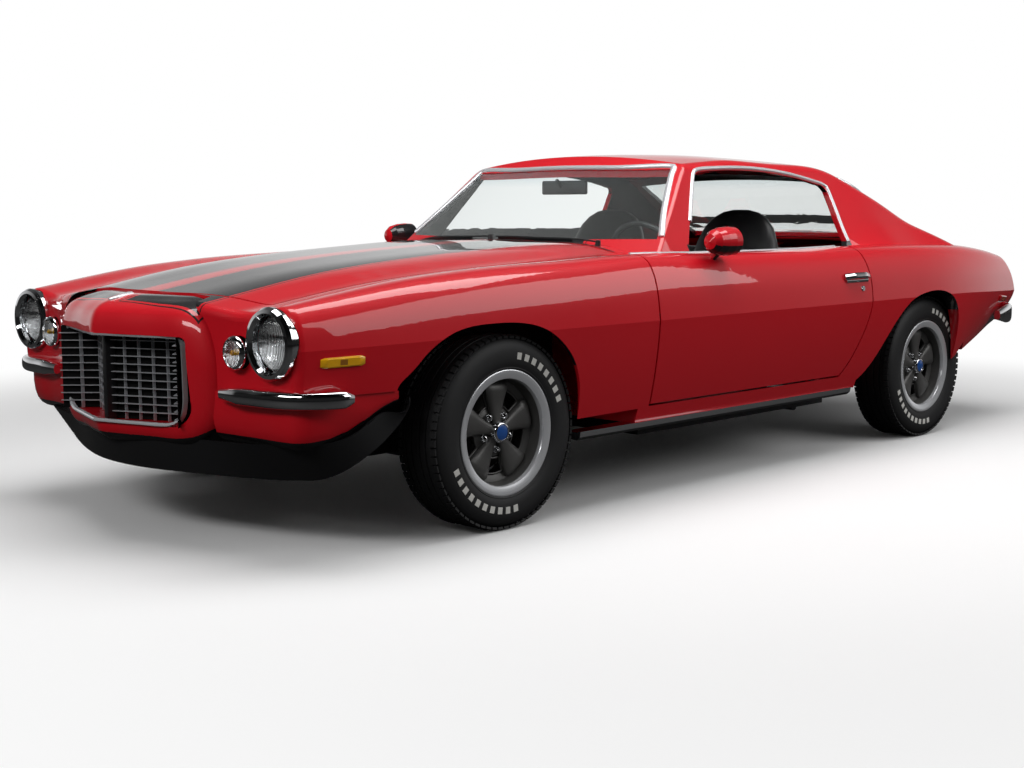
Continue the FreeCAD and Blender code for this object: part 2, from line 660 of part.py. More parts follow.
def rim(x, s, side):
    """A wheel with five broad spokes, its face side out."""
    b = bead_radius - 0.5
    w = rim_width / 2.0
    profile = [(b - 8, -w), (b - 8, -w + 14), (b - 24, -w + 34), (b - 24, w - 44), (b - 10, w - 24),
               (b - 6, w - 4), (ring_radius - 4, w + 3), (ring_radius, w + 1), (b, w - 4), (b, -w + 4),
               (b + 5, -w)]
    barrel = turned(profile, (0, 0, 0))
    face = [(0, 20), (0, 44), (36, 44), (52, 34), (90, 34), (130, 42), (b - 22, 50), (b - 22, 30), (120, 22)]
    disc = turned(face, (0, 0, 0))
    for k in range(5):
        hole = [(-13, 86), (-20, 94), (-27, 140), (-24, 154), (-13, 160), (13, 160), (24, 154), (27, 140),
                (20, 94), (13, 86)]
        points = [Vector(0, r * math.sin(math.radians(a)), r * math.cos(math.radians(a))) for a, r in hole]
        slot = Part.Face(Part.makePolygon(points + [points[0]])).extrude(Vector(100, 0, 0))
        slot.rotate(Vector(0, 0, 0), Vector(1, 0, 0), 36 + 72 * k)
        disc = disc.cut(slot)
    wheel = barrel.fuse(disc)
    for k in range(5):
        a = math.radians(72 * k)
        nut = cylinder(11, 26, (30, 60 * math.sin(a), 60 * math.cos(a)), (1, 0, 0))
        wheel = wheel.fuse(nut)
    wheel = wheel.fuse(turned([(0, 40), (0, 66), (22, 66), (30, 58), (32, 40)], (0, 0, 0)))
    if side < 0:
        wheel = mirrored(wheel)
    wheel.translate(Vector(x, along(s), hub_height))
    return wheel


def knuckle(x_wheel):
    """The left steering knuckle: an upright with its spindle, brake disc and steering arm."""
    z = hub_height
    upright = box(x_wheel - 100, x_wheel - 66, -26, 26, z - 118, z + 128)
    spindle = cylinder(22, 100, (x_wheel - 80, along(0), z), (1, 0, 0))
    disc = cylinder(140, 20, (x_wheel - 52, along(0), z), (1, 0, 0))
    hub = cylinder(62, 53.7, (x_wheel - 34, along(0), z), (1, 0, 0))
    arm = bar([(x_wheel - 80, along(20), z - 60), (x_wheel - 110, along(130), z - 70)], 12)
    return joined([upright, spindle, disc, hub, arm])


def front_suspension(x_wheel):
    """The front cross-member, its rails and the control arms out to the ball joints."""
    z = hub_height
    pieces = [box(-420, 420, -70, 70, 205, 262)]
    pieces += pair(box(370, 430, -560, 700, 225, 285.7))
    pieces += pair(box(380, 440, -60, 60, 255, 520))
    for end in (-90, 90):
        pieces += pair(bar([(420, along(end), 240), (x_wheel - 84, along(0), z - 140)], 14))
        pieces += pair(bar([(425, along(end), 500), (x_wheel - 84, along(0), z + 146)], 12))
    pieces += pair(cylinder(20, 21.7, (x_wheel - 84, along(0), z - 140), (0, 0, 1)))
    pieces += pair(cylinder(20, 21.7, (x_wheel - 84, along(0), z + 128.3), (0, 0, 1)))
    return joined(pieces)


def rear_axle(x_wheel):
    z = hub_height
    half = [(0, 0), (112, 0), (100, 55), (70, 95), (38, 120), (38, x_wheel - 90), (128, x_wheel - 90),
            (128, x_wheel - 32), (58, x_wheel - 32), (58, x_wheel + 19.7), (0, x_wheel + 19.7)]
    profile = [(r, -o) for r, o in reversed(half[1:])] + half[1:]
    axle = turned(profile, (0, along(wheelbase), z))
    nose = cylinder(40, 160, (0, along(wheelbase - 230), z), (0, 1, 0))
    return axle.fuse(nose)


def leaf_spring():
    """The left rear spring, from its front eye over the axle to its shackle."""
    arc = [(2130, 182), (2400, 236), (2743, 286.7), (3050, 306), (3340, 372)]
    low = [(s, z - 16) for s, z in reversed(arc)]
    runs = [arc, [low[0]], low[1:]]
    spring = side_prism(runs, 500, 556)
    eye = cylinder(22, 56, (500, along(2130), 176), (1, 0, 0))
    front_bracket = box(512, 544, 2118, 2142, 176, 205.7)
    shackle = box(512, 544, 3330, 3352, 360, 427.9)
    return joined([spring, eye, front_bracket, shackle])


def seat(x):
    """A high-backed bucket seat."""
    base = [[(1330, 250.0), (1330, 345)], [(1345, 382), (1400, 396), (1600, 380), (1790, 352)], [(1850, 352)],
            [(1850, 250)]]
    cushion = side_prism(base, x - 218, x + 232)
    back = [[(1800, 352), (1822, 520), (1880, 760), (1925, 930), (1950, 1010)], [(1985, 1030), (2020, 1012)],
            [(2010, 900), (1965, 700), (1920, 500), (1900, 352)]]
    half = [(240, 340), (242, 600), (225, 800), (130, 890), (120, 1000), (80, 1040)]
    right = [(x - w, z) for w, z in half]
    left = [(x + w, z) for w, z in reversed(half)]
    front_view = [right[:3], right[3:5], [right[5], left[0], left[1]], left[2:4], left[4:]]
    rest = side_prism(back, x - 240, x + 240).common(front_prism(front_view, 1700, 2100))
    track = box(x - 200, x + 215, 1400, 1800, 226.3, 250)
    return joined([cushion, rest, track])


def rear_seat():
    """The rear bench, its back leaning to the parcel shelf."""
    outline = [[(2290, 340.3), (2262, 360)], [(2256, 420)], [(2275, 452), (2420, 445), (2555, 415)],
               [(2610, 600), (2690, 830)], [(2730, 852), (2785, 846)], [(2712, 600), (2651, 480)], [(2578, 345.3)]]
    tunnel = front_prism(straight(*tunnel_outline), 2200, 2620, 0.3)
    return side_prism(outline, -600, 600).cut(tunnel)


def dashboard():
    outline = [[(700.3, 700), (700.3, 844.7)], [(948, 844.7)], [(990, 864), (1050, 870), (1110, 850)],
               [(1128, 800), (1105, 720), (1095, 640)], [(1040, 560)], [(900, 560)], [(860, 700)]]
    return side_prism(outline, -700, 700).cut(column_bar(30.3))


def steering_wheel():
    """Rim, spokes and column, tilted towards the driver."""
    section = [(188 + 11 * math.cos(k * math.pi / 4), 11 * math.sin(k * math.pi / 4)) for k in range(8)]
    ring = turned(section, (0, 0, 0))
    ring.rotate(Vector(0, 0, 0), Vector(0, 1, 0), -90)
    hub = cylinder(42, 34, (0, 0, -34), (0, 0, 1))
    spokes = []
    for a in (90, 210, 330):
        spoke = Part.makeBox(170, 26, 8, Vector(14, -13, -16))
        spoke.rotate(Vector(0, 0, 0), Vector(0, 0, 1), a)
        spokes.append(spoke)
    shaft = cylinder(14, 130, (0, 0, -160), (0, 0, 1))
    wheel = joined([ring, hub, shaft] + spokes)
    wheel.rotate(Vector(0, 0, 0), Vector(1, 0, 0), -column_lean)
    wheel.translate(Vector(*wheel_centre))
    return wheel


def column_bar(radius):
    """A bar along the steering column from the firewall to just short of the wheel."""
    column = cylinder(radius, 519, (0, 0, -669), (0, 0, 1))
    column.rotate(Vector(0, 0, 0), Vector(1, 0, 0), -column_lean)
    column.translate(Vector(*wheel_centre))
    return column


def steering_column():
    bore = cylinder(14.3, 40, (0, 0, -162), (0, 0, 1))
    bore.rotate(Vector(0, 0, 0), Vector(1, 0, 0), -column_lean)
    bore.translate(Vector(*wheel_centre))
    return column_bar(30.0).cut([bore, box(-700, 700, 500, 700.3, 300, 900)])


def engine():
    """The engine and gearbox as plain blocks at their real places."""
    block = box(-280, 280, -250, 420, 262.3, 640)
    cover = box(-150, 150, -200, 380, 640, 760)
    gearbox = box(-100, 100, 420, 1200, 215, 345)
    return joined([block, cover, gearbox])


def floor_pan():
    """The floor from the toe-board to the tail, kicked up over the rear axle."""
    top = [(700.3, 500), (860, 226), (2150, 226), (2290, 340), (2580, 345), (2660, 470), (3590, 430)]
    under = [(3590, 418), (2668, 457), (2592, 331), (2296, 327), (2156, 206), (852, 206), (700.3, 470)]
    floor = side_prism(straight(*top, *under), -629.7, 629.7)
    wide = box(-715.7, 715.7, 853, 2107.7, 206, 226)
    tunnel = front_prism(straight(*tunnel_outline), 640, 2600)
    under_tunnel = [(0.92 * x, z - 12 if z > 200 else z - 40) for x, z in tunnel_outline]
    hollow = front_prism(straight(*under_tunnel), 600, 2660)
    return joined([floor, wide]).fuse(tunnel).cut(hollow)


def largest(shape):
    return max(shape.Solids, key=lambda s: s.Volume)


def hood_panel(outer, lid_inner):
    return largest(outer.common(plan_prism(hood_outline, 600, 1100)).cut(lid_inner))


def fender_layer(outer, inner):
    """The left fender's sheet before its openings are cut."""
    return outer.common(fender_zone).cut(inner)


def fender_panel(layer):
    seam = plan_prism(hood_outline, 500, 1100, panel_gap)
    nose_space = front_prism(nose_outline, -1100, -780, 4.0)
    tools = [seam, header_zone, nose_space] + wheel_room() + lamp_places()
    return largest(layer.cut(tools))


def header(outer, inner, nose):
    """The strip between hood and grille, and the nose's own top."""
    seam = plan_prism(hood_outline, 500, 1100, panel_gap)
    strip = outer.common(header_zone).cut([inner, seam, front_prism(nose_outline, -1100, -780)])
    crown = nose.common(box(-700, 700, -1100, -600, 736, 900)).cut(seam)
    return strip, crown


def valance_panel(outer, inner):
    front = outer.common(box(-1000, 1000, -1100, -380, 300, 507.7)).cut(inner)
    roll = side_prism([[(-1100, 200), (-1100, 452)], [(-880, 452)],
                       [(-846, 436), (-822, 405), (-806, 370), (-792, 330)], [(-786, 200)]], -1000, 1000)
    return front.cut([front_prism(nose_outline, -1100, -780, 4.0), dam_line, roll] + wheel_room())


def door_panel(mass):
    """A door: the outer skin on an inner frame that steps back all round its edge."""
    frame_outline = straight((830, 340), (830, 700), (754, 826), (754, 1000), (1000, 1000), (1000, 340))
    slab = mass.common(side_prism(door_outline, 700, 1000)).common(front_prism(frame_outline, 600, 2300))
    behind_skin = straight((700, 330), (848, 330), (878, 453), (900, 657), (890, 741), (866, 812), (832, 846),
                           (754, 862), (700, 862))
    step = front_prism(behind_skin, 600, 2300).cut(side_prism(door_inner_outline, 600, 1000))
    belt_pad = box(712, 790, 1175, 2060, 828, 872)
    return largest(slab.cut(step).fuse(belt_pad).cut(hinge_pocket()))


def deck_space(grow):
    low = -panel_gap if grow else 0.0
    lip = straight((2900, 840 + low), (3560 + low, 760 + low), (3600 + low, 690 + low), (3800, 690 + low),
                   (3800, 1000), (2900, 1000))
    return plan_prism(deck_outline, 640, 1100, grow).common(side_prism(lip, -700, 700))


def body_shell(outer, inner, inner_house, layer):
    """The closed body with every panel, opening and hollow taken out, the cheapest cuts first."""
    bay, cabin, rear_cabin, boot, house, belt_slot, tunnel = cavities(inner, inner_house)
    steps = [
        [box(-1000, 1000, -1200, -650, 100, 1000)],
        [plan_prism(hood_outline, 846, 1000, panel_gap)],
        pair(door_space(door_outline, panel_gap)),
        pair(window_space()),
        [deck_space(panel_gap)],
        [glass_space(False, 880, 1400), glass_space(True, 880, 1400)],
        [cabin, rear_cabin, belt_slot, tunnel],
        [house],
        wheel_room(),
        tail_lamp_places(),
        pair(layer),
        [bay],
        [boot],
    ]
    body = outer
    for tools in steps:
        body = body.cut(tools)
    return largest(body)


def windshield(house, inner_house):
    pane = house.common(glass_space(False, 860, 1400)).cut(behind_windshield(7.0))
    return largest(pane)


def backlight(house):
    shape = house.common(glass_space(True, 860, 1400))
    return largest(shape.cut(greenhouse_top(7.0)))


def door_hinge():
    """The left door's hinge: a pin on an arm that reaches back out of the door jamb."""
    arm = box(846, 922, 757, 767, 648, 676).fuse(box(846, 858, 714.3, 767, 648, 676))
    return arm.fuse(cylinder(4.5, 56, (hinge_x, along(hinge_station), 634), (0, 0, 1)))


def hood_hinge_base(lid_inner):
    """The left hinge base under the hood's rear corner, just short of the panel."""
    base = box(592, 616, 660, 698, 846.4, 900).common(lid_inner)
    base.translate(Vector(0, 0, -0.4))
    return base


def hinge_pocket():
    """The room in the door for the hinge's arm, and the bore for its pin."""
    pocket = box(838, 926.5, 700, 776, 641, 683)
    return pocket.fuse(cylinder(4.8, 60, (hinge_x, along(hinge_station), 632), (0, 0, 1)))


def front_structure():
    """The inner fenders and the panel that carries the radiator, inside the engine bay."""
    apron = side_prism(straight((-655, 300), (-655, 735), (0, 770), (654.7, 800), (654.7, 300)), 452, 460)
    aprons = pair(apron.cut(box(400, 500, -130, 130, 464, 534)))
    support = box(-640, 640, -660, -650, 300, 720).cut(box(-330, 330, -700, -600, 360, 690))
    brackets = pair(box(394, 424, -789.7, -655, 400, 440))
    return joined(aprons + [support] + brackets)


def radiator():
    return box(-329.7, 329.7, -655, -600, 360.3, 689.7)


def side_markers(mass):
    """The left side's two marker lamps, set on the skin ahead of the front arch and behind the rear one."""
    front = side_prism(straight((-744, 596), (-596, 598), (-594, 627), (-742, 625)), 790, 900)
    front = front.common(plan_prism(straight((790, -760), (843, -760), (874, -580), (790, -580)), 500, 700))
    rear = side_prism(straight((3464, 588), (3588, 583), (3586, 606), (3462, 618)), 740, 880)
    rear = rear.common(plan_prism(straight((740, 3455), (843, 3455), (824, 3595), (740, 3595)), 500, 700))
    return [largest(front.cut(mass)), largest(rear.cut(mass))]


def rocker_moulding(mass):
    """The left moulding that runs under the door between the wheels."""
    section = straight((800, 262), (858, 258), (873, 270), (877, 290), (800, 290))
    moulding = largest(front_prism(section, 352, 2078).cut(mass))
    moulding.translate(Vector(0, 0, -seat_clearance))
    return moulding


def door_handle(mass):
    """The left door's handle, standing a little off the skin."""
    grip = side_prism(straight((1926, 753), (2104, 753), (2106, 777), (1928, 777)), 880, 941)
    return largest(grip.cut(mass))


def console():
    """The console over the tunnel, with the gear lever."""
    base = side_prism(straight((1135, 380.3), (1135, 430), (1230, 452), (1560, 440), (1900, 470), (1930, 380.3)),
                      -98, 98)
    lever = bar([(0, along(1330), 440), (0, along(1350), 560), (0, along(1336), 622)], 9)
    knob = Part.makeSphere(24, Vector(0, along(1334), 630))
    return joined([base, lever, knob])


def driveshaft():
    """The shaft from the gearbox to the axle's nose, its ends square to the car."""
    start = Vector(0, along(1190), 285)
    end = Vector(0, along(wheelbase - 220), hub_height)
    shaft = Part.makeCylinder(32, (end - start).Length, start, end - start)
    return shaft.common(box(-50, 50, 1200 + seat_clearance, wheelbase - 230 - seat_clearance, 200, 400))


def door_mirror(mass):
    """The left bullet mirror on its stalk."""
    shell = turned([(0, 0), (28, 8), (44, 30), (52, 64), (55, 105), (53, 142), (47, 142), (47, 134), (0, 134)],
                   (912, along(1020), 930), False)
    stalk = bar([(903, along(1112), 905), (846, along(1100), 844)], 13)
    return largest(joined([shell, stalk]).cut(mass))


def headlamp_parts():
    """The left headlamp's ring and its lens."""
    ring = turned([(84, 0), (84, 20), (92, 32), (103, 30), (110, 18), (110, 8), (102.7, 8), (100, -40),
                   (94, -40), (94, 0)], (0, 0, 0), False)
    ring = ring.mirror(Vector(0, 0, 0), Vector(0, 1, 0))
    ring.translate(Vector(718, along(-816), 666))
    lens = turned([(0, 0), (93.7, 0), (93.7, 20), (82, 26), (50, 36), (0, 40)], (0, 0, 0), False)
    lens = lens.mirror(Vector(0, 0, 0), Vector(0, 1, 0))
    lens.translate(Vector(718, along(-790), 666))
    return ring, lens


def parking_lamp():
    lamp = turned([(0, -20), (51, -20), (51, 16), (54, 17), (54, 22), (48, 26), (30, 30), (0, 32)],
                  (0, 0, 0), False)
    lamp = lamp.mirror(Vector(0, 0, 0), Vector(0, 1, 0))
    lamp.translate(Vector(parking_lamp_x, along(-830), 631))
    return lamp


def tail_lamp(x):
    lamp = turned([(0, -24), (56, -24), (56, 12), (50, 18), (30, 22), (0, 23)], (0, 0, 0), False)
    lamp.translate(Vector(x, along(3710), 624))
    return lamp


def spoiler(outer):
    """A low three-piece wing that follows the deck's crown: the middle on the lid, an end on each quarter."""
    half = [(0, 3385, 0, 0), (300, 3388, 4, 4), (560, 3394, 22, 26), (626, 3385, 32, 42), (700, 3290, 48, 82),
            (745, 3190, 60, 100), (766, 3180, 82, 120)]
    sections = []
    for x, front, drop, tail_drop in [(-x, *rest) for x, *rest in reversed(half[1:])] + half:
        slope = max(0, 3385 - front) * 0.20
        run = [(front, 740), (front, 868 - drop + slope), (3480, 880 - drop), (3560, 877 - drop),
               (3632, 858 - tail_drop), (3650, 842 - tail_drop), (3645, 818 - tail_drop),
               (3600, 740 - 0.5 * tail_drop)]
        points = [Vector(x, along(s), z) for s, z in run]
        sections.append(Part.makePolygon(points + [points[0]]))
    wing = Part.makeLoft(sections, True, True).cut(outer)
    middle = largest(wing.common(box(-626, 626, 3000, 3800, 700, 1000)))
    ends = [largest(wing.common(box(*x, 3000, 3800, 700, 1000))) for x in ((632, 900), (-900, -632))]
    return middle, ends


def exhaust():
    """Twin pipes with a cross muffler under the tail."""
    pieces = []
    for side in (1, -1):
        bends = [(330, 100, 225), (250, 700, 172), (250, 2300, 172), (330, 2520, 225), (420, 2900, 262),
                 (440, 3660, 262)]
        pieces.append(bar([(side * x, along(s), z) for x, s, z in bends], 26))
    muffler = cylinder(74, 1000, (-500, along(3075), 290), (1, 0, 0))
    hangers = pair(box(338, 352, 3068, 3082, 340, 439.2))
    return pieces, muffler, hangers


def fuel_tank():
    return side_prism(straight((3165, 275), (3165, 435.7), (3560, 418.9), (3560, 290)), -330, 330)


def build():
    mass = body_mass(0.0)
    house = greenhouse()
    outer = mass.fuse(house)
    inner = body_mass(panel_wall)
    inner_house = greenhouse(roof_wall)
    lid_inner = body_mass(18.0)
    nose = nose_solid()

    layer = fender_layer(outer, inner)
    fender = fender_panel(layer)
    strip, crown = header(outer, inner, nose)
    hood = hood_panel(outer, lid_inner)
    door = door_panel(mass)
    lid = largest(outer.common(deck_space(0.0)).cut(lid_inner))
    valance = valance_panel(outer, inner)
    body = body_shell(outer, inner, inner_house, layer)
    glass = windshield(house, inner_house)
    back = backlight(house)

    save("body_shell", body)
    save("hood", hood)
    save("fender_left", fender)
    save("fender_right", mirrored(fender))
    save("header_panel", strip, crown)
    save("grille_surround", nose.cut([nose_opening(), header_zone]))
    save("front_valance", valance)
    save("door_left", door)
    save("door_right", mirrored(door))
    save("door_hinges", *pair(door_hinge()))
    save("hood_hinges", *pair(hood_hinge_base(lid_inner)))
    save("decklid", lid)
    save("windshield", glass)
    save("backlight", back)
    mirror = door_mirror(mass)
    save("mirror_left", mirror)
    save("mirror_right", mirrored(mirror))
    save("bumpers_front", *pair(bumperette().cut([outer, nose])))
    save("bumper_rear", rear_bumper().cut(outer))
    save("air_dam", largest(air_dam().cut([valance, nose])))
    marks = side_markers(mass)
    save("side_markers_front", *pair(marks[0]))
    save("side_markers_rear", *pair(marks[1]))
    save("rocker_mouldings", *pair(rocker_moulding(mass)))
    handle = door_handle(mass)
    save("door_handle_left", handle)
    save("door_handle_right", mirrored(handle))
    middle, ends = spoiler(outer)
    save("spoiler_middle", middle)
    save("spoiler_ends", *ends)


def running_gear():
    save("grille", grille_insert())
    save("front_structure", front_structure())
    save("radiator", radiator())
    ring, lens = headlamp_parts()
    save("headlamp_rings", *pair(ring))
    save("headlamps", *pair(lens))
    save("parking_lamps", *pair(parking_lamp()))
    save("tail_lamps", *pair(tail_lamp(478)), *pair(tail_lamp(650)))
    save("dashboard", dashboard())
    save("steering_wheel", steering_wheel())
    save("steering_column", steering_column())
    save("seat_left", seat(370))
    save("seat_right", mirrored(seat(370)))
    save("rear_seat", rear_seat())
    save("floor_pan", floor_pan())
    save("console", console())
    save("driveshaft", driveshaft())
    save("engine", engine())
    save("front_suspension", front_suspension(track_front / 2))
    save("knuckle_left", knuckle(track_front / 2))
    save("knuckle_right", mirrored(knuckle(track_front / 2)))
    save("rear_axle", rear_axle(track_rear / 2))
    save("leaf_springs", *pair(leaf_spring()))
    pipes, muffler, hangers = exhaust()
    save("exhaust", joined(pipes + [muffler] + hangers))
    save("fuel_tank", fuel_tank())
    for name, x, s, side in (("front_left", track_front / 2, 0, 1), ("front_right", -track_front / 2, 0, -1),
                             ("rear_left", track_rear / 2, wheelbase, 1),
                             ("rear_right", -track_rear / 2, wheelbase, -1)):
        save("tyre_" + name, tyre(x, s))
        save("rim_" + name, rim(x, s, side))


if __name__ == "__main__":
    build()
    running_gear()
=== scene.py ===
"""Looks for a red two-door muscle car with black stripes: finishes, trim, lamps, wheels and cabin.

The solids come from the frame. Lengths are metres, the nose points along -Y and the car's left is +X.
"""

import json
import math
from functools import partial

import bmesh
import bpy
from mathutils import Matrix, Vector
from mathutils.bvhtree import BVHTree


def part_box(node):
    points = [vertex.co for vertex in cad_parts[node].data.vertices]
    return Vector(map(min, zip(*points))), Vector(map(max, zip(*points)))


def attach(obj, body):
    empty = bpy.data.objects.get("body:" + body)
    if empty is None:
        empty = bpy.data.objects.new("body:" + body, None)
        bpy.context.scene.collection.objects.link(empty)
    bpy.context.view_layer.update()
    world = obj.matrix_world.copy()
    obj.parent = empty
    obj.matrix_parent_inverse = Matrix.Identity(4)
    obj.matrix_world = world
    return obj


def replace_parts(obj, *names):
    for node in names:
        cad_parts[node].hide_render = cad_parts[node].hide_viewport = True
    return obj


bl_info = {
    "name": "Muscle Car Looks",
    "version": (1, 0, 0),
    "blender": (4, 5, 0),
    "location": "View3D > Sidebar > Car",
    "description": "Paint, trim, lamps, wheels and cabin of a two-door muscle car",
    "category": "Object",
}

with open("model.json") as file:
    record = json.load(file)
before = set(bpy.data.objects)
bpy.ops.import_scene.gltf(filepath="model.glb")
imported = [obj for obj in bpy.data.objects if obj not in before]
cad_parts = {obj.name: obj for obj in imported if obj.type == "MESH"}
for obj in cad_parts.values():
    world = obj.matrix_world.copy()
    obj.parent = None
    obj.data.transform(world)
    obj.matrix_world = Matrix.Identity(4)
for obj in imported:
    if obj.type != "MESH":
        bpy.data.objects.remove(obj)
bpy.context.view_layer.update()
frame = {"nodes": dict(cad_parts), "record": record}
nodes = frame["nodes"]

# every station is a distance behind the front axle
wheel_low, wheel_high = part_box("tyre_front_left")
axle_y = ((wheel_low + wheel_high) / 2).y

SIDES = ((1.0, "left"), (-1.0, "right"))
UP = Vector((0, 0, 1))
SPOKE_STEP = 360 / 5
# rays start this far out, beyond the roof and the doors
OUTSIDE = 1.3
# points closer than this become one
MERGE = 0.00002


def station(s):
    """The Y of a distance behind the front axle."""
    return axle_y + s


# property groups


def colour_setting(name, description, default):
    """A colour that can be set in the panel."""
    return bpy.props.FloatVectorProperty(
        name=name, description=description, subtype="COLOR", size=3, default=default)


def length_setting(name, description, default):
    """A length in metres that can be set in the panel."""
    return bpy.props.FloatProperty(name=name, description=description, unit="LENGTH", default=default)


def angle_setting(name, description, degrees):
    """An angle that can be set in the panel."""
    return bpy.props.FloatProperty(
        name=name, description=description, subtype="ANGLE", default=math.radians(degrees))


class CarColours(bpy.types.PropertyGroup):
    """Colours of the finishes."""

    paint: colour_setting("Paint", "Body colour", (0.62, 0.003, 0.012))
    stripe: colour_setting("Stripe", "Colour of the stripes", (0.006, 0.006, 0.007))
    wheel: colour_setting("Wheel", "Colour of the wheel spokes", (0.105, 0.103, 0.1))
    cabin: colour_setting("Cabin", "Colour of the cabin's vinyl", (0.012, 0.012, 0.013))


class StripeSizes(bpy.types.PropertyGroup):
    """Where the stripes run on the hood and the deck."""

    inner: length_setting("Inner edge", "From the centre line to a stripe", 0.058)
    outer: length_setting("Outer edge", "From the centre line to a stripe's outer edge", 0.39)
    pinstripe: length_setting("Pinstripe", "Width of the thin border line", 0.005)


class StageSettings(bpy.types.PropertyGroup):
    """Camera, lights and floor."""

    position: bpy.props.FloatVectorProperty(
        name="Camera position", description="Where the camera stands", subtype="TRANSLATION", size=3,
        default=(4.26, -4.7815, 1.074))
    azimuth: angle_setting("Azimuth", "Turn of the camera round the car", 44.61)
    elevation: angle_setting("Elevation", "How far the camera looks down", 6.95)
    roll: angle_setting("Roll", "Turn of the picture", -0.2)
    focal: bpy.props.FloatProperty(
        name="Focal length", description="Lens for a 36 mm wide frame, in millimetres", default=52.095)
    backdrop: colour_setting("Backdrop", "Colour of floor and backdrop", (0.86, 0.86, 0.86))


# material helpers


def new_material(name, **sockets):
    """A Principled material with these sockets set."""
    made = bpy.data.materials.new(name)
    made.use_nodes = True
    shader = made.node_tree.nodes["Principled BSDF"]
    for socket, value in sockets.items():
        shader.inputs[socket.replace("_", " ")].default_value = value
    return made, made.node_tree, shader


def add(tree, kind, inputs=None, **settings):
    """A node with its settings and inputs, which are values or sockets."""
    node = tree.nodes.new(kind)
    for key, value in settings.items():
        setattr(node, key, value)
    for key, value in (inputs or {}).items():
        if isinstance(value, bpy.types.NodeSocket):
            tree.links.new(value, node.inputs[key])
        else:
            node.inputs[key].default_value = value
    return node


def maths(tree, operation, a, b=0.0, c=0.0):
    """The result of a sum of sockets or numbers."""
    return add(tree, "ShaderNodeMath", {0: a, 1: b, 2: c}, operation=operation).outputs[0]


def mixed(tree, factor, a, b):
    """Colour a where the factor is 0 and b where it is 1."""
    return add(tree, "ShaderNodeMix", {0: factor, 6: a, 7: b}, data_type="RGBA").outputs[2]


def coordinates(tree, kind="Object"):
    """Where a point lies: in the object unless another kind is asked for."""
    return add(tree, "ShaderNodeTexCoord").outputs[kind]


def noise(tree, where, scale, detail=3.0, roughness=0.5):
    """A cloudy value about 0.5."""
    return add(tree, "ShaderNodeTexNoise", {"Vector": where, "Scale": scale, "Detail": detail,
                                            "Roughness": roughness}).outputs[0]


def axes(tree, vector):
    """The three parts of a vector."""
    return add(tree, "ShaderNodeSeparateXYZ", {0: vector}).outputs


def ramp(tree, value, start, end, low=0.0, high=1.0, **settings):
    """Goes from low to high as the value goes from start to end."""
    ends = {"Value": value, "From Min": start, "From Max": end, "To Min": low, "To Max": high}
    return add(tree, "ShaderNodeMapRange", ends, **settings).outputs[0]


def coloured(tree, shader, factor, a, b):
    """Colours a surface from a to b by a factor."""
    tree.links.new(mixed(tree, factor, a, b), shader.inputs["Base Color"])


def bumped(tree, shader, height, strength, distance):
    """Roughens a surface by a height."""
    bump = add(tree, "ShaderNodeBump", {"Height": height, "Strength": strength, "Distance": distance})
    tree.links.new(bump.outputs[0], shader.inputs["Normal"])


def rgba(colour, factor=1.0):
    """A colour for a socket, made brighter or darker by a factor."""
    return (*(factor * c for c in colour[:3]), 1.0)


def surface_group(name, inputs, outputs, build):
    """A node group with named sockets, built once."""
    if name in bpy.data.node_groups:
        return bpy.data.node_groups[name]
    group = bpy.data.node_groups.new(name, "ShaderNodeTree")
    for label, kind, value in inputs:
        socket = group.interface.new_socket(label, in_out="INPUT", socket_type=kind)
        socket.default_value = value
    for label, kind in outputs:
        group.interface.new_socket(label, in_out="OUTPUT", socket_type=kind)
    start = group.nodes.new("NodeGroupInput")
    end = group.nodes.new("NodeGroupOutput")
    build(group, start, end)
    return group


def fine_finish():
    """Small drift of colour and gloss over a finish: a colour, a roughness and a height."""
    def build(group, start, end):
        where = coordinates(group)
        broad = noise(group, where, start.outputs["Scale"], 4.0)
        fine = noise(group, where, maths(group, "MULTIPLY", start.outputs["Scale"], 23.0), 3.0, 0.6)
        drift = maths(group, "MULTIPLY_ADD", broad, start.outputs["Drift"],
                      maths(group, "MULTIPLY", start.outputs["Drift"], -0.5))
        bright = maths(group, "ADD", 1.0, drift)
        scaled = add(group, "ShaderNodeVectorMath", {0: start.outputs["Color"], "Scale": bright},
                     operation="SCALE").outputs[0]
        group.links.new(scaled, end.inputs["Color"])
        rough = maths(group, "MULTIPLY_ADD", fine, start.outputs["Gloss drift"], start.outputs["Roughness"])
        group.links.new(rough, end.inputs["Roughness"])
        group.links.new(fine, end.inputs["Height"])
    return surface_group(
        "Fine finish",
        [("Color", "NodeSocketColor", (0.5, 0.5, 0.5, 1.0)), ("Scale", "NodeSocketFloat", 6.0),
         ("Drift", "NodeSocketFloat", 0.1), ("Roughness", "NodeSocketFloat", 0.4),
         ("Gloss drift", "NodeSocketFloat", 0.1)],
        [("Color", "NodeSocketColor"), ("Roughness", "NodeSocketFloat"), ("Height", "NodeSocketFloat")],
        build)


def finish_with_drift(name, colour, roughness, scale=6.0, drift=0.1, gloss_drift=0.08, bump=0.05,
                      distance=0.0004, **sockets):
    """A Principled material whose colour, gloss and surface vary a little."""
    made, tree, shader = new_material(name, **sockets)
    group = add(tree, "ShaderNodeGroup", node_tree=fine_finish())
    for key, value in (("Color", rgba(colour)), ("Scale", scale), ("Drift", drift),
                       ("Roughness", roughness), ("Gloss drift", gloss_drift)):
        group.inputs[key].default_value = value
    tree.links.new(group.outputs["Color"], shader.inputs["Base Color"])
    tree.links.new(group.outputs["Roughness"], shader.inputs["Roughness"])
    bumped(tree, shader, group.outputs["Height"], bump, distance)
    return made


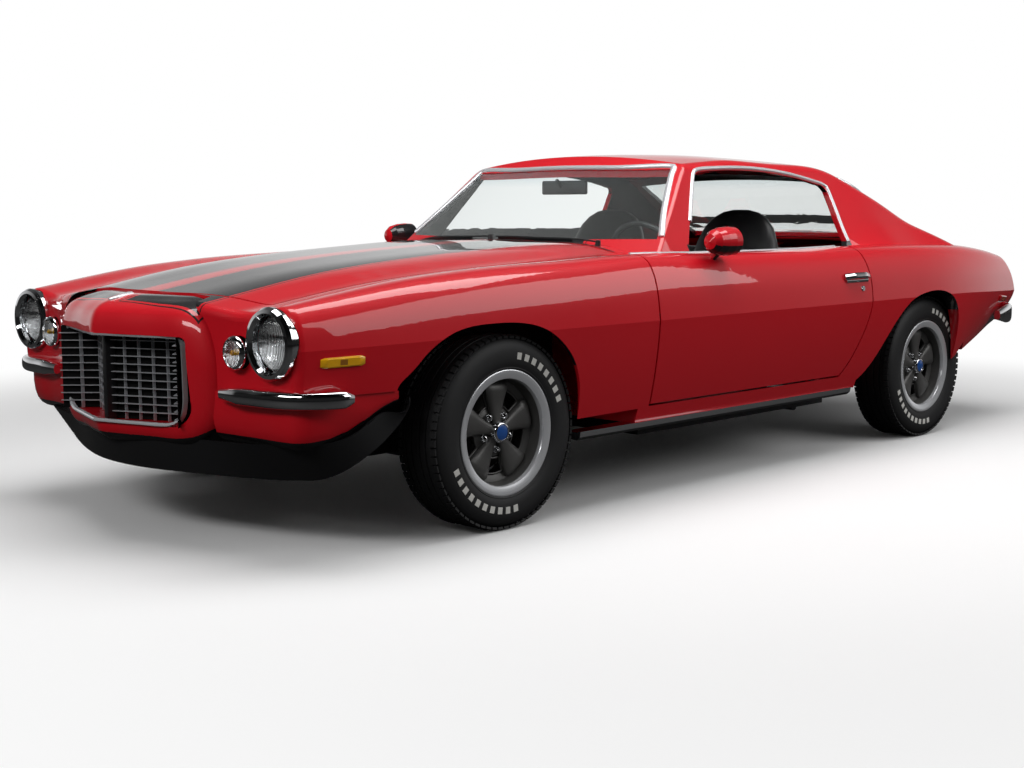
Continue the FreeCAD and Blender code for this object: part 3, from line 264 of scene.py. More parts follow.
def body_paint():
    """Gloss red over the whole body, with the black stripes and their pinstripes laid on hood and deck."""
    colours, sizes = bpy.context.scene.car_colours, bpy.context.scene.car_stripes
    made, tree, shader = new_material("Body paint", Coat_Weight=1.0, Coat_Roughness=0.02, Roughness=0.45,
                                      Specular_IOR_Level=0.2)
    nose_slant, least_rise, stripe_foot = 0.166, 0.12, 0.7
    both, either = partial(maths, tree, "MULTIPLY"), partial(maths, tree, "MAXIMUM")
    less, more = partial(maths, tree, "LESS_THAN"), partial(maths, tree, "GREATER_THAN")
    where = coordinates(tree)
    x, y, z = axes(tree, where)
    across = maths(tree, "ABSOLUTE", x)

    def between(value, low, high):
        middle = maths(tree, "SUBTRACT", value, (low + high) / 2)
        return less(maths(tree, "ABSOLUTE", middle), (high - low) / 2)

    def panel(grow):
        """Where a stripe of the hood or deck lies, its edges moved out by a width."""
        slanted = maths(tree, "MULTIPLY_ADD", across, -nose_slant, y)
        hood = between(slanted, station(-0.922) - grow, station(0.86))
        deck = between(y, station(2.95), station(3.72))
        return both(either(hood, deck), between(across, sizes.inner - grow, sizes.outer + grow))

    # the stripes, on faces that look upwards
    normal = add(tree, "ShaderNodeNewGeometry").outputs["Normal"]
    normal_x, _, normal_z = axes(tree, normal)
    facing_up = more(normal_z, least_rise)
    high = both(facing_up, more(z, stripe_foot))
    pin = sizes.pinstripe
    border = maths(tree, "SUBTRACT", panel(3 * pin), panel(2 * pin))
    mask = both(high, maths(tree, "ADD", panel(0.0), border))
    # the black linings: the cabin's walls, roof and door tops, and the underside
    inward = less(both(normal_x, maths(tree, "SIGN", x)), -0.3)
    ceiling = both(less(normal_z, -0.3), more(z, 0.85))
    under = both(less(normal_z, -0.5), less(z, 0.8))
    inside = both(between(y, station(0.69), station(3.0)), either(inward, ceiling))
    door_inside = both(less(across, 0.752), between(y, station(1.13), station(2.26)))
    door_top = both(both(facing_up, door_inside), less(z, 0.915))
    dark = either(either(either(inside, door_top), under), mask)
    red = mixed(tree, noise(tree, where, 1.6, 2.0), rgba(colours.paint, 0.94), rgba(colours.paint, 1.05))
    coloured(tree, shader, dark, red, rgba(colours.stripe))
    bumped(tree, shader, noise(tree, where, 900.0, 1.0), 0.03, 0.0002)
    return made


def wheel_grey():
    """Grey paint with a little metal in it."""
    colour = bpy.context.scene.car_colours.wheel
    return finish_with_drift("Wheel grey", colour, 0.36, drift=0.15, scale=20.0, Metallic=0.35)


def cabin_vinyl():
    """Black vinyl with a fine grain."""
    colour = bpy.context.scene.car_colours.cabin
    made, tree, shader = new_material("Cabin vinyl", Roughness=0.42)
    where = coordinates(tree)
    cells = add(tree, "ShaderNodeTexVoronoi", {"Vector": where, "Scale": 420.0}, feature="DISTANCE_TO_EDGE")
    bumped(tree, shader, cells.outputs["Distance"], 0.35, 0.0006)
    coloured(tree, shader, noise(tree, where, 5.0), rgba(colour), rgba(colour, 1.5))
    return made


CLEAR = {"IOR": 1.45, "Transmission_Weight": 1.0}


def window_glass():
    """Clear glass with a darker band along the top."""
    made, tree, shader = new_material("Window glass", Roughness=0.0, **CLEAR)
    z = axes(tree, coordinates(tree))[2]
    coloured(tree, shader, ramp(tree, z, 1.14, 1.24), (0.93, 0.97, 0.96, 1), (0.55, 0.68, 0.72, 1))
    return made


def clear_lens():
    """Plain lamp glass."""
    made, tree, shader = new_material("Clear lens", Roughness=0.02, **CLEAR)
    coloured(tree, shader, noise(tree, coordinates(tree), 8.0), (0.93, 0.95, 0.97, 1), (1, 1, 1, 1))
    return made


def fluted_glass():
    """Lamp glass with upright flutes."""
    made, tree, shader = new_material("Fluted glass", Roughness=0.02, **CLEAR)
    where = coordinates(tree)
    x, _, z = axes(tree, where)
    flutes = maths(tree, "SINE", maths(tree, "MULTIPLY", x, 900.0))
    rows = maths(tree, "SINE", maths(tree, "MULTIPLY", z, 210.0))
    height = maths(tree, "MULTIPLY_ADD", flutes, 0.5, maths(tree, "MULTIPLY", rows, 0.3))
    bumped(tree, shader, height, 0.7, 0.0012)
    coloured(tree, shader, noise(tree, where, 30.0), (0.94, 0.96, 0.97, 1), (1, 1, 1, 1))
    return made


def coloured_lens(name, colour):
    """A ribbed lens of one colour."""
    made, tree, shader = new_material(name, Roughness=0.08, Coat_Weight=1.0)
    wave = add(tree, "ShaderNodeTexWave", {"Vector": coordinates(tree), "Scale": 90.0},
               bands_direction="Z").outputs["Fac"]
    coloured(tree, shader, wave, rgba(colour, 0.75), rgba(colour))
    bumped(tree, shader, wave, 0.3, 0.0006)
    return made


# slot: how its material is made
FINISHES = {
    "paint": body_paint, "glass": window_glass, "lamp_glass": clear_lens, "fluted_glass": fluted_glass,
    "vinyl": cabin_vinyl, "wheel_grey": wheel_grey,
    "amber_lens": partial(coloured_lens, "Amber lens", (0.98, 0.5, 0.01)),
    "red_lens": partial(coloured_lens, "Red lens", (0.45, 0.006, 0.008)),
}

# slot: name, colour, roughness and the settings that differ from the usual
DRIFTING_FINISHES = {
    "black_trim": ("Black trim", (0.01, 0.01, 0.011), 0.38, {"bump": 0.15, "scale": 14.0}),
    "chassis_black": ("Chassis black", (0.014, 0.014, 0.015), 0.5,
                      {"bump": 0.3, "scale": 9.0, "drift": 0.3}),
    "tyre": ("Tyre rubber", (0.014, 0.014, 0.015), 0.55,
             {"scale": 12.0, "drift": 0.25, "bump": 0.25, "distance": 0.0006}),
    "engine_iron": ("Engine paint", (0.42, 0.1, 0.03), 0.4,
                    {"drift": 0.25, "bump": 0.3, "distance": 0.001}),
    "bare_iron": ("Bare iron", (0.2, 0.19, 0.18), 0.5,
                  {"drift": 0.4, "bump": 0.4, "distance": 0.001, "Metallic": 0.8}),
    "exhaust_steel": ("Exhaust steel", (0.42, 0.41, 0.39), 0.35, {"drift": 0.3, "Metallic": 1.0}),
    "chrome": ("Chrome", (0.8, 0.81, 0.83), 0.05,
               {"drift": 0.05, "gloss_drift": 0.05, "bump": 0.01, "Metallic": 1.0}),
    "bright_trim": ("Bright trim", (0.8, 0.81, 0.84), 0.22,
                    {"drift": 0.06, "gloss_drift": 0.05, "bump": 0.02, "Metallic": 0.55}),
    "grille_bar": ("Grille bar", (0.62, 0.63, 0.66), 0.3, {"drift": 0.08, "Metallic": 0.6}),
    "reflector": ("Reflector", (0.86, 0.87, 0.88), 0.12, {"drift": 0.05, "Metallic": 1.0}),
    "white_rubber": ("White rubber", (0.72, 0.71, 0.67), 0.6, {"bump": 0.1}),
    # the bulb behind a marker lens, with painted shade of the lamp's hollow round it
    "bulb_shade": ("Bulb shade", (0.3, 0.12, 0.01), 0.3, {"drift": 0.1}),
    # painted shade: the near-black sheet behind the grille bars stands for the shaded hollow there
    "depth_black": ("Depth black", (0.004, 0.004, 0.004), 0.7, {"Specular_IOR_Level": 0.1}),
    "cap_blue": ("Cap blue", (0.02, 0.09, 0.34), 0.15, {"bump": 0.0}),
}


def finish(slot):
    """The material of a slot, made the first time it is asked for."""
    if slot in DRIFTING_FINISHES and slot not in finish.made:
        *look, settings = DRIFTING_FINISHES[slot]
        finish.made[slot] = finish_with_drift(*look, **settings)
    elif slot not in finish.made:
        finish.made[slot] = FINISHES[slot]()
    return finish.made[slot]


finish.made = {}


def dress(obj, slot):
    """Gives an object the one finish of its slot."""
    obj.data.materials.clear()
    obj.data.materials.append(finish(slot))


# shapes


def new_object(name, shape, slot=None, body=None, smooth=True):
    """An object of a finished bmesh at the origin, with its finish and the body that it rides on."""
    for face in shape.faces:
        face.smooth = smooth
    mesh = bpy.data.meshes.new(name)
    shape.to_mesh(mesh)
    shape.free()
    made = bpy.data.objects.new(name, mesh)
    bpy.context.scene.collection.objects.link(made)
    if slot:
        made.data.materials.append(finish(slot))
    if body:
        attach(made, body)
    return made


def tidy(shape, angle=35.0):
    """Merges doubles, points the faces outwards and marks the corners sharp."""
    bmesh.ops.remove_doubles(shape, verts=shape.verts, dist=MERGE)
    bmesh.ops.recalc_face_normals(shape, faces=shape.faces)
    for edge in shape.edges:
        edge.smooth = len(edge.link_faces) != 2 or edge.calc_face_angle(0.0) < math.radians(angle)
    return shape


def spun(shape, profile, steps=64):
    """A full turn of (radius, offset along X) points about the X axis."""
    verts = [shape.verts.new((offset, 0.0, radius)) for radius, offset in profile]
    edges = [shape.edges.new(pair) for pair in zip(verts, verts[1:])]
    bmesh.ops.spin(shape, geom=verts + edges, cent=(0, 0, 0), axis=(1, 0, 0), dvec=(0, 0, 0),
                   angle=math.tau, steps=steps, use_merge=True, use_duplicate=False)
    bmesh.ops.remove_doubles(shape, verts=shape.verts, dist=0.00001)


def swept(shape, path, ups, outline, closed=False, sizes=None):
    """A bar whose outline, as (sideways, up) points, is drawn along the path and sized at each point.

    Ups is the outline's own up at each point, or one vector for them all.
    """
    count = len(path)
    if isinstance(ups, Vector):
        ups = [ups] * count
    sizes = sizes or [(1.0, 1.0)] * count
    frames = []
    for i in range(count):
        before = path[i - 1] if i or closed else path[i]
        after = path[(i + 1) % count] if i < count - 1 or closed else path[i]
        ahead = (after - before).normalized()
        side = ahead.cross(ups[i]).normalized()
        up = side.cross(ahead)
        turn = Matrix((side, ahead, up)).transposed().to_4x4()
        size = Matrix.Diagonal((sizes[i][0], 1.0, sizes[i][1], 1.0))
        frames.append(Matrix.Translation(path[i]) @ turn @ size)
    ring = [shape.verts.new(frames[0] @ Vector((a, 0, b))) for a, b in outline]
    edges = [shape.edges.new((ring[i - 1], ring[i])) for i in range(len(ring))]
    first = edges
    for before, frame_now in zip(frames, frames[1:]):
        made = bmesh.ops.extrude_edge_only(shape, edges=edges)["geom"]
        verts = [v for v in made if isinstance(v, bmesh.types.BMVert)]
        edges = [e for e in made if isinstance(e, bmesh.types.BMEdge) and all(v in verts for v in e.verts)]
        bmesh.ops.transform(shape, matrix=frame_now @ before.inverted(), verts=verts)
    if closed:
        bmesh.ops.bridge_loops(shape, edges=edges + first)
    else:
        bmesh.ops.contextual_create(shape, geom=edges)
        bmesh.ops.contextual_create(shape, geom=first)


def block(shape, low, high, bevel=0.0, segments=2):
    """A box between two corners, its edges rounded."""
    low, high = Vector(low), Vector(high)
    made = bmesh.ops.create_cube(shape, size=1.0)["verts"]
    bmesh.ops.scale(shape, vec=high - low, verts=made)
    bmesh.ops.translate(shape, vec=(low + high) / 2, verts=made)
    if bevel:
        edges = list(dict.fromkeys(e for v in made for e in v.link_edges))
        made = bmesh.ops.bevel(shape, geom=edges, offset=bevel, segments=segments, profile=0.5,
                               affect="EDGES", material=-1, offset_type="OFFSET")["verts"]
    return made


def drum(shape, centre, axis, radius, depth, segments=24, top=None):
    """A disc or cone whose middle is at the centre and whose axis is given."""
    turn = Vector(axis).to_track_quat("Z", "Y").to_matrix().to_4x4()
    top = radius if top is None else top
    bmesh.ops.create_cone(shape, cap_ends=True, segments=segments, radius1=radius, radius2=top, depth=depth,
                          matrix=Matrix.Translation(centre) @ turn)


def surface_of(*names):
    """A tree that finds points on the solids."""
    verts, faces = [], []
    for name in names:
        mesh = nodes[name].data
        start = len(verts)
        verts += [v.co.copy() for v in mesh.vertices]
        faces += [[start + i for i in f.vertices] for f in mesh.polygons]
    return BVHTree.FromPolygons(verts, faces)


def on_side(tree, s, z, side):
    """The point and the normal of the skin at a station and a height, met from the side."""
    place, normal, _, _ = tree.ray_cast(Vector((side * OUTSIDE, station(s), z)), Vector((-side, 0, 0)))
    return place, normal


def on_top(tree, x, s):
    """The point and the upward normal of the skin at an x and a station, met from above."""
    place, normal, _, _ = tree.ray_cast(Vector((x, station(s), OUTSIDE)), -UP)
    return place, normal if place is None or normal.z > 0 else -normal


def skin_run(met):
    """The points and the normals, leaving out the rays that passed the skin."""
    return zip(*[pair for pair in met if pair[0] is not None])


def smooth_run(points, count, closed=False):
    """Points spread evenly along a smooth curve through the given ones."""
    points = [Vector(p) for p in points]
    n = len(points)
    fine = []
    for i in range(n if closed else n - 1):
        if closed:
            a, b, c, d = (points[(i + k) % n] for k in (-1, 0, 1, 2))
        else:
            b, c = points[i], points[i + 1]
            a = points[i - 1] if i else b + (b - c)
            d = points[i + 2] if i < n - 2 else c + (c - b)
        for k in range(16):
            t = k / 16
            fine.append(0.5 * (2 * b + (c - a) * t + (2 * a - 5 * b + 4 * c - d) * t * t
                               + (3 * b - a - 3 * c + d) * t ** 3))
    fine.append(fine[0] if closed else points[-1])
    reach = [0.0]
    for a, b in zip(fine, fine[1:]):
        reach.append(reach[-1] + (b - a).length)
    spread = []
    i = 0
    for k in range(count):
        want = reach[-1] * k / (count if closed else count - 1)
        while i < len(reach) - 2 and reach[i + 1] < want:
            i += 1
        part = (want - reach[i]) / max(reach[i + 1] - reach[i], 1e-9)
        spread.append(fine[i].lerp(fine[i + 1], min(max(part, 0.0), 1.0)))
    return spread


def squared(value, power):
    """A sine or cosine drawn towards its ends, which squares an oval."""
    return math.copysign(abs(value) ** power, value)


def half_round(wide, tall):
    """The outline of a moulding: rounded above, and flat underneath, where it sinks in a little."""
    half, sink = wide / 2, 0.001
    points = [(half * math.cos(math.pi * k / 6), tall * math.sin(math.pi * k / 6)) for k in range(7)]
    return [(-half, -sink), (half, -sink)] + points


def side_moulding(shape, tree, run, wide, tall, side, count):
    """A moulding laid on the skin along a run of (station, height) points, met from the side."""
    points = smooth_run([(s, z, 0) for s, z in run], count)
    swept(shape, *skin_run(on_side(tree, p.x, p.y, side) for p in points), half_round(wide, tall))


def top_moulding(shape, tree, run, wide, tall, count, closed=False):
    """A moulding laid on the skin along a run of (x, station) points, met from above."""
    points = smooth_run([(x, s, 0) for x, s in run], count, closed)
    swept(shape, *skin_run(on_top(tree, p.x, p.y) for p in points), half_round(wide, tall), closed)


def trim_object(name, shape, body, slot="bright_trim"):
    """A piece of trim whose finish is the scene's own and fills none of the frame's slots."""
    made = new_object(name, tidy(shape), None, body)
    made.data.materials.append(finish(slot))
    return made


# operators


class DressSolids(bpy.types.Operator):
    """Give every solid its finish"""

    bl_idname = "car.dress_solids"
    bl_label = "Dress the solids"

    def execute(self, context):
        for entry in frame["record"]["subparts"]:
            dress(nodes[entry["node"]], entry["material_slot"])
        return {"FINISHED"}


# turned parts of a wheel: the finish, the steps round and the profile of (radius, offset) points
TURNED_PARTS = {
    "trim_ring": ("bright_trim", 96, [
        (0.1775, 0.07), (0.1782, 0.0815), (0.18, 0.085), (0.185, 0.0868), (0.195, 0.0898),
        (0.204, 0.0915), (0.2085, 0.0912), (0.2105, 0.0895), (0.21, 0.088), (0.208, 0.0895),
        (0.204, 0.0898), (0.1955, 0.0882), (0.1855, 0.0852), (0.1812, 0.0838), (0.1798, 0.081),
        (0.179, 0.07), (0.1775, 0.07)]),
    "cap": ("chrome", 48, [
        (0.0345, 0.04), (0.0345, 0.0605), (0.0335, 0.066), (0.03, 0.069), (0.0265, 0.0694),
        (0.0258, 0.0684), (0.025, 0.0672), (0.0, 0.0672)]),
    "cap_middle": ("cap_blue", 40, [(0.025, 0.066), (0.0248, 0.068), (0.0236, 0.0688), (0.0, 0.0692)]),
}


class DressWheels(bpy.types.Operator):
    """Build treaded tyres, five-spoke wheels, bright trim rings, caps and nuts"""

    bl_idname = "car.dress_wheels"
    bl_label = "Dress the wheels"

    def execute(self, context):
        for name in ("front_left", "front_right", "rear_left", "rear_right"):
            low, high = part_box("tyre_" + name)
            self.wheel = name, (low + high) / 2
            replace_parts(self.piece("tyre_tread", self.tyre(), "tyre"), "tyre_" + name)
            self.piece("tyre_bars", self.tyre_bars(), "white_rubber", 20)
            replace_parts(self.piece("wheel_rim", self.rim(), "wheel_grey"), "rim_" + name)
            self.piece("wheel_spokes", self.spokes(), "wheel_grey", 50)
            for kind, (slot, steps, profile) in TURNED_PARTS.items():
                shape = bmesh.new()
                spun(shape, profile, steps)
                self.piece(kind, shape, slot)
            self.piece("wheel_nuts", self.nuts(), "chrome")
        return {"FINISHED"}

    def piece(self, kind, shape, slot, sharp=40):
        """Puts a shape, made for the left side round the origin, on its own wheel."""
        name, centre = self.wheel
        if centre.x < 0:
            bmesh.ops.scale(shape, vec=(-1, 1, 1), verts=shape.verts)
        bmesh.ops.translate(shape, vec=centre, verts=shape.verts)
        bmesh.ops.recalc_face_normals(shape, faces=shape.faces)
        return new_object(kind + "_" + name, tidy(shape, sharp), slot, "wheel_" + name)

    def tyre(self):
        """The tyre: ribs and grooves round the tread, shoulder lugs, and a raised line on the wall."""
        shape = bmesh.new()
        half = [(0.0, 0.3245), (0.015, 0.3244), (0.016, 0.318), (0.0215, 0.318), (0.0225, 0.324),
                (0.043, 0.3232), (0.044, 0.317), (0.0495, 0.317), (0.0505, 0.3226), (0.066, 0.319),
                (0.067, 0.315), (0.07, 0.315), (0.08, 0.311), (0.088, 0.304), (0.0925, 0.295),
                (0.0962, 0.286), (0.0985, 0.274), (0.0992, 0.262), (0.0992, 0.25), (0.0985, 0.238),
                (0.096, 0.227), (0.0925, 0.218), (0.0935, 0.216), (0.0925, 0.214), (0.09, 0.209),
                (0.087, 0.205), (0.086, 0.198), (0.084, 0.1925)]
        profile = [(r, -x) for x, r in reversed(half[1:])] + [(r, x) for x, r in half]
        spun(shape, profile + profile[:1], 96)
        lugs = 72
        for k in range(lugs):
            for side in (1, -1):
                fresh = block(shape, (-0.0095, -0.0105, -0.004), (0.0095, 0.0105, 0.004))
                place = Matrix.Translation((side * 0.0775, 0, 0.3188)) @ Matrix.Rotation(side * 0.3, 4, "Y")
                turn = Matrix.Rotation(math.radians(360 / lugs * (k if side > 0 else k + 0.5)), 4, "X")
                bmesh.ops.transform(shape, matrix=turn @ place, verts=fresh)
        return shape

    def tyre_bars(self):
        """Two arcs of plain raised bars on the outer wall."""
        shape = bmesh.new()
        pitch = 8.2
        for middle, count in ((-40.0, 8), (150.0, 10)):
            for k in range(count):
                angle = math.radians(middle + (k - (count - 1) / 2) * pitch)
                fresh = block(shape, (-0.0009, -0.0105, -0.0115), (0.0009, 0.0105, 0.0115), 0.0007, 1)
                place = Matrix.Translation((0.0989, 0, 0.256)) @ Matrix.Rotation(0.02, 4, "Y")
                bmesh.ops.transform(shape, matrix=Matrix.Rotation(angle, 4, "X") @ place, verts=fresh)
        return shape

    def rim(self):
        """The barrel of the wheel, its well and its hub, and the webs between them."""
        shape = bmesh.new()
        spun(shape, [(0.191, 0.085), (0.179, 0.08), (0.177, 0.056), (0.17, 0.03), (0.168, -0.04),
                     (0.18, -0.07), (0.1835, -0.088), (0.1915, -0.086), (0.1915, 0.084)], 72)
        spun(shape, [(0.17, 0.032), (0.162, 0.03), (0.148, 0.024), (0.147, 0.018), (0.17, 0.016)], 72)
        spun(shape, [(0.0, 0.042), (0.033, 0.042), (0.036, 0.033), (0.082, 0.026), (0.086, 0.023),
                     (0.086, 0.015), (0.0, 0.015)], 60)
        web = ((0.08, 0.015), (0.08, 0.025), (0.15, 0.025), (0.15, 0.015))
        for k in range(5):
            verts = [shape.verts.new((x, 0.0, r)) for r, x in web]
            bmesh.ops.rotate(shape, verts=verts, cent=(0, 0, 0),
                             matrix=Matrix.Rotation(math.radians(SPOKE_STEP * k - 20), 3, "X"))
            edges = [shape.edges.new((verts[i - 1], verts[i])) for i in range(4)]
            bmesh.ops.spin(shape, geom=verts + edges, cent=(0, 0, 0), axis=(1, 0, 0), dvec=(0, 0, 0),
                           angle=math.radians(40), steps=10, use_merge=False, use_duplicate=False)
        return shape

    def spokes(self):
        """Five broad spokes that flare to the rim, and the raised borders of the windows between them.

        Reach holds the radius, half width, offset and depth along a spoke; corners hold a window's radius
        and degrees.
        """
        shape = bmesh.new()
        outline = [(-1.0, -1.0), (1.0, -1.0), (1.0, 0.1), (0.8, 0.72), (0.45, 1.0), (0.0, 1.06),
                   (-0.45, 1.0), (-0.8, 0.72), (-1.0, 0.1)]
        reach = [(0.024, 0.016, 0.044, 0.006), (0.04, 0.018, 0.043, 0.007), (0.06, 0.023, 0.04, 0.008),
                 (0.085, 0.031, 0.0385, 0.009), (0.11, 0.0395, 0.039, 0.01), (0.135, 0.0475, 0.0405, 0.011),
                 (0.15, 0.051, 0.04, 0.01), (0.161, 0.049, 0.033, 0.008), (0.168, 0.045, 0.025, 0.005)]
        corners = [(0.0905, -12), (0.0905, 0), (0.0905, 12), (0.096, 14.5), (0.115, 15.2), (0.135, 15.6),
                   (0.1415, 13), (0.142, 0), (0.1415, -13), (0.135, -15.6), (0.115, -15.2), (0.096, -14.5)]
        border = [(-0.0022, -0.004), (0.0022, -0.004), (0.002, 0.0008), (0.0, 0.0018), (-0.002, 0.0008)]
        sizes = [(wide, deep) for _, wide, _, deep in reach]
        for k in range(5):
            turn = Matrix.Rotation(math.radians(SPOKE_STEP * k), 4, "X")
            path = [turn @ Vector((x, 0, r)) for r, _, x, _ in reach]
            swept(shape, path, turn @ Vector((1, 0, 0)), outline, sizes=sizes)
            turns = [(r, math.radians(SPOKE_STEP * (k + 0.5) + a)) for r, a in corners]
            ring = [Vector((0.027, -r * math.sin(a), r * math.cos(a))) for r, a in turns]
            swept(shape, smooth_run(ring, 48, True), Vector((1, 0, 0)), border, True)
        return shape

    def nuts(self):
        """Five rounded chrome nuts, one between each two spokes."""
        shape = bmesh.new()
        for k in range(5):
            angle = math.radians(SPOKE_STEP * (k + 0.5))
            place = Vector((0, -0.06 * math.sin(angle), 0.06 * math.cos(angle)))
            drum(shape, place + Vector((0.032, 0, 0)), (1, 0, 0), 0.0125, 0.012, 6)
            drum(shape, place + Vector((0.043, 0, 0)), (1, 0, 0), 0.0105, 0.012, 16, 0.009)
            drum(shape, place + Vector((0.0515, 0, 0)), (1, 0, 0), 0.009, 0.005, 16, 0.0045)
        return shape


class FitMouldings(bpy.types.Operator):
    """Lay the bright mouldings round the glass"""

    bl_idname = "car.fit_mouldings"
    bl_label = "Fit the mouldings"

    def execute(self, context):
        shell = surface_of("body_shell")
        for side, name in SIDES:
            shape = bmesh.new()
            run = [(1.14, 0.9), (1.205, 1.01), (1.285, 1.132), (1.325, 1.19), (1.352, 1.204), (1.42, 1.211),
                   (1.649, 1.217), (1.85, 1.209), (2.02, 1.191), (2.19, 1.161), (2.232, 1.149),
                   (2.249, 1.122), (2.249, 0.905)]
            side_moulding(shape, shell, run, 0.017, 0.007, side, 90)
            trim_object("window_moulding_" + name, shape, "chassis")
        shape = bmesh.new()
        half = [(0.7, 1.004), (0.64, 1.092), (0.59, 1.18), (0.5585, 1.24), (0.548, 1.268), (0.515, 1.2705),
                (0.28, 1.2285)]
        run = half + [(0.0, 1.2165)] + [(-x, s) for x, s in reversed(half)]
        top_moulding(shape, shell, run, 0.026, 0.008, 120)
        trim_object("windshield_moulding", shape, "chassis")
        shape = bmesh.new()
        run = [(-0.56, 2.397), (0.0, 2.383), (0.56, 2.397), (0.608, 2.66), (0.65, 2.97), (0.3, 2.999),
               (0.0, 3.007), (-0.3, 2.999), (-0.65, 2.97), (-0.608, 2.66)]
        top_moulding(shape, shell, run, 0.022, 0.007, 130, closed=True)
        trim_object("backlight_moulding", shape, "chassis")
        return {"FINISHED"}


class FitLamps(bpy.types.Operator):
    """Build the head, parking and tail lamps: reflectors, fluted glass and rims"""

    bl_idname = "car.fit_lamps"
    bl_label = "Fit the lamps"

    def execute(self, context):
        self.add_headlamps()
        self.add_parking_lamps()
        self.add_tail_lamps()
        return {"FINISHED"}

    def lamp(self, name, profiles, centre, facing, slots):
        """The turned parts of one lamp, which faces along -Y or +Y."""
        turn = Matrix.Translation(centre) @ Matrix.Rotation(math.radians(90 * facing), 4, "Z")
        for k, (profile, slot) in enumerate(zip(profiles, slots)):
            shape = bmesh.new()
            spun(shape, profile, 64)
            bmesh.ops.transform(shape, matrix=turn, verts=shape.verts)
            new_object(name + "_" + str(k), tidy(shape, 40), slot, "chassis")

    def add_headlamps(self):
        """A chrome bowl, fluted glass, reflector and bulb in each lamp of the CAD."""
        low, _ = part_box("headlamps")
        ring_low, ring_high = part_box("headlamp_rings")
        radius = (ring_high.z - ring_low.z) / 2
        for side, name in SIDES:
            centre = Vector((side * (ring_high.x - radius), low.y, (ring_low.z + ring_high.z) / 2))
            bowl = [(0.0936, 0.012), (0.09, 0.0), (0.084, -0.016), (0.078, -0.02), (0.078, -0.024),
                    (0.088, -0.024), (0.0936, -0.004), (0.0936, 0.012)]
            glass = [(0.0, 0.0045), (0.02, 0.004), (0.04, 0.0025), (0.06, -0.0015), (0.07, -0.0055),
                     (0.0775, -0.012), (0.0775, -0.015), (0.069, -0.009), (0.06, -0.005), (0.04, -0.001),
                     (0.02, 0.0005), (0.0, 0.001)]
            mirror = [(0.0, -0.033), (0.012, -0.032), (0.03, -0.027), (0.05, -0.02), (0.066, -0.0135),
                      (0.0772, -0.0155), (0.0772, -0.018), (0.066, -0.0165), (0.05, -0.023), (0.03, -0.03),
                      (0.012, -0.035), (0.0, -0.036)]
            bulb = [(0.0, -0.012), (0.006, -0.013), (0.0095, -0.018), (0.01, -0.026), (0.0, -0.03)]
            self.lamp("headlamp_" + name, [bowl, glass, mirror, bulb], centre, -1,
                      ["chrome", "fluted_glass", "reflector", "lamp_glass"])
        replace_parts(bpy.data.objects["headlamp_left_1"], "headlamps")

    def add_parking_lamps(self):
        """A chrome ring, fluted glass, reflector and amber bulb in each."""
        low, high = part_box("parking_lamps")
        radius = (high.z - low.z) / 2
        for side, name in SIDES:
            centre = Vector((side * (high.x - radius), low.y, (low.z + high.z) / 2))
            ring = [(radius - 0.01, -0.004), (radius - 0.006, -0.006), (radius - 0.001, -0.012),
                    (radius, -0.016), (radius - 0.0006, -0.02), (radius - 0.012, -0.02),
                    (radius - 0.012, -0.008), (radius - 0.01, -0.004)]
            inner = radius - 0.0125
            glass = [(0.0, 0.0), (0.02, -0.0006), (0.038, -0.0028), (inner, -0.007), (inner, -0.011),
                     (0.036, -0.006), (0.02, -0.0036), (0.0, -0.003)]
            mirror = [(0.0, -0.03), (0.02, -0.027), (0.04, -0.019), (inner, -0.012), (inner, -0.02),
                      (0.03, -0.033), (0.0, -0.034)]
            bulb = [(0.0, -0.006), (0.006, -0.0075), (0.009, -0.012), (0.008, -0.025), (0.0, -0.028)]
            self.lamp("parking_lamp_" + name, [ring, glass, mirror, bulb], centre, -1,
                      ["chrome", "fluted_glass", "reflector", "amber_lens"])
        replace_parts(bpy.data.objects["parking_lamp_left_1"], "parking_lamps")

    def add_tail_lamps(self):
        """Two round red lamps on each side; the inner ones have a white middle."""
        low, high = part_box("tail_lamps")
        radius = (high.z - low.z) / 2
        outer, spacing = high.x - radius, 0.172
        for side, name in SIDES:
            for place, x in (("outer", outer), ("inner", outer - spacing)):
                centre = Vector((side * x, high.y, (low.z + high.z) / 2))
                ring = [(radius - 0.009, -0.002), (radius - 0.004, -0.004), (radius, -0.01),
                        (radius - 0.0005, -0.016), (radius - 0.01, -0.016), (radius - 0.009, -0.002)]
                lens = [(0.0, 0.0), (0.016, -0.0005), (0.017, -0.002), (0.03, -0.0025), (0.031, -0.001),
                        (0.044, -0.003), (radius - 0.0095, -0.006), (radius - 0.0095, -0.014),
                        (0.0, -0.014)]
                white = [(0.0, 0.0016), (0.013, 0.0012), (0.0155, -0.0004), (0.0155, -0.004), (0.0, -0.004)]
                profiles, slots = [ring, lens], ["chrome", "red_lens"]
                if place == "inner":
                    profiles.append(white)
                    slots.append("reflector")
                self.lamp("tail_lamp_" + place + "_" + name, profiles, centre, 1, slots)
        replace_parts(bpy.data.objects["tail_lamp_outer_left_1"], "tail_lamps")


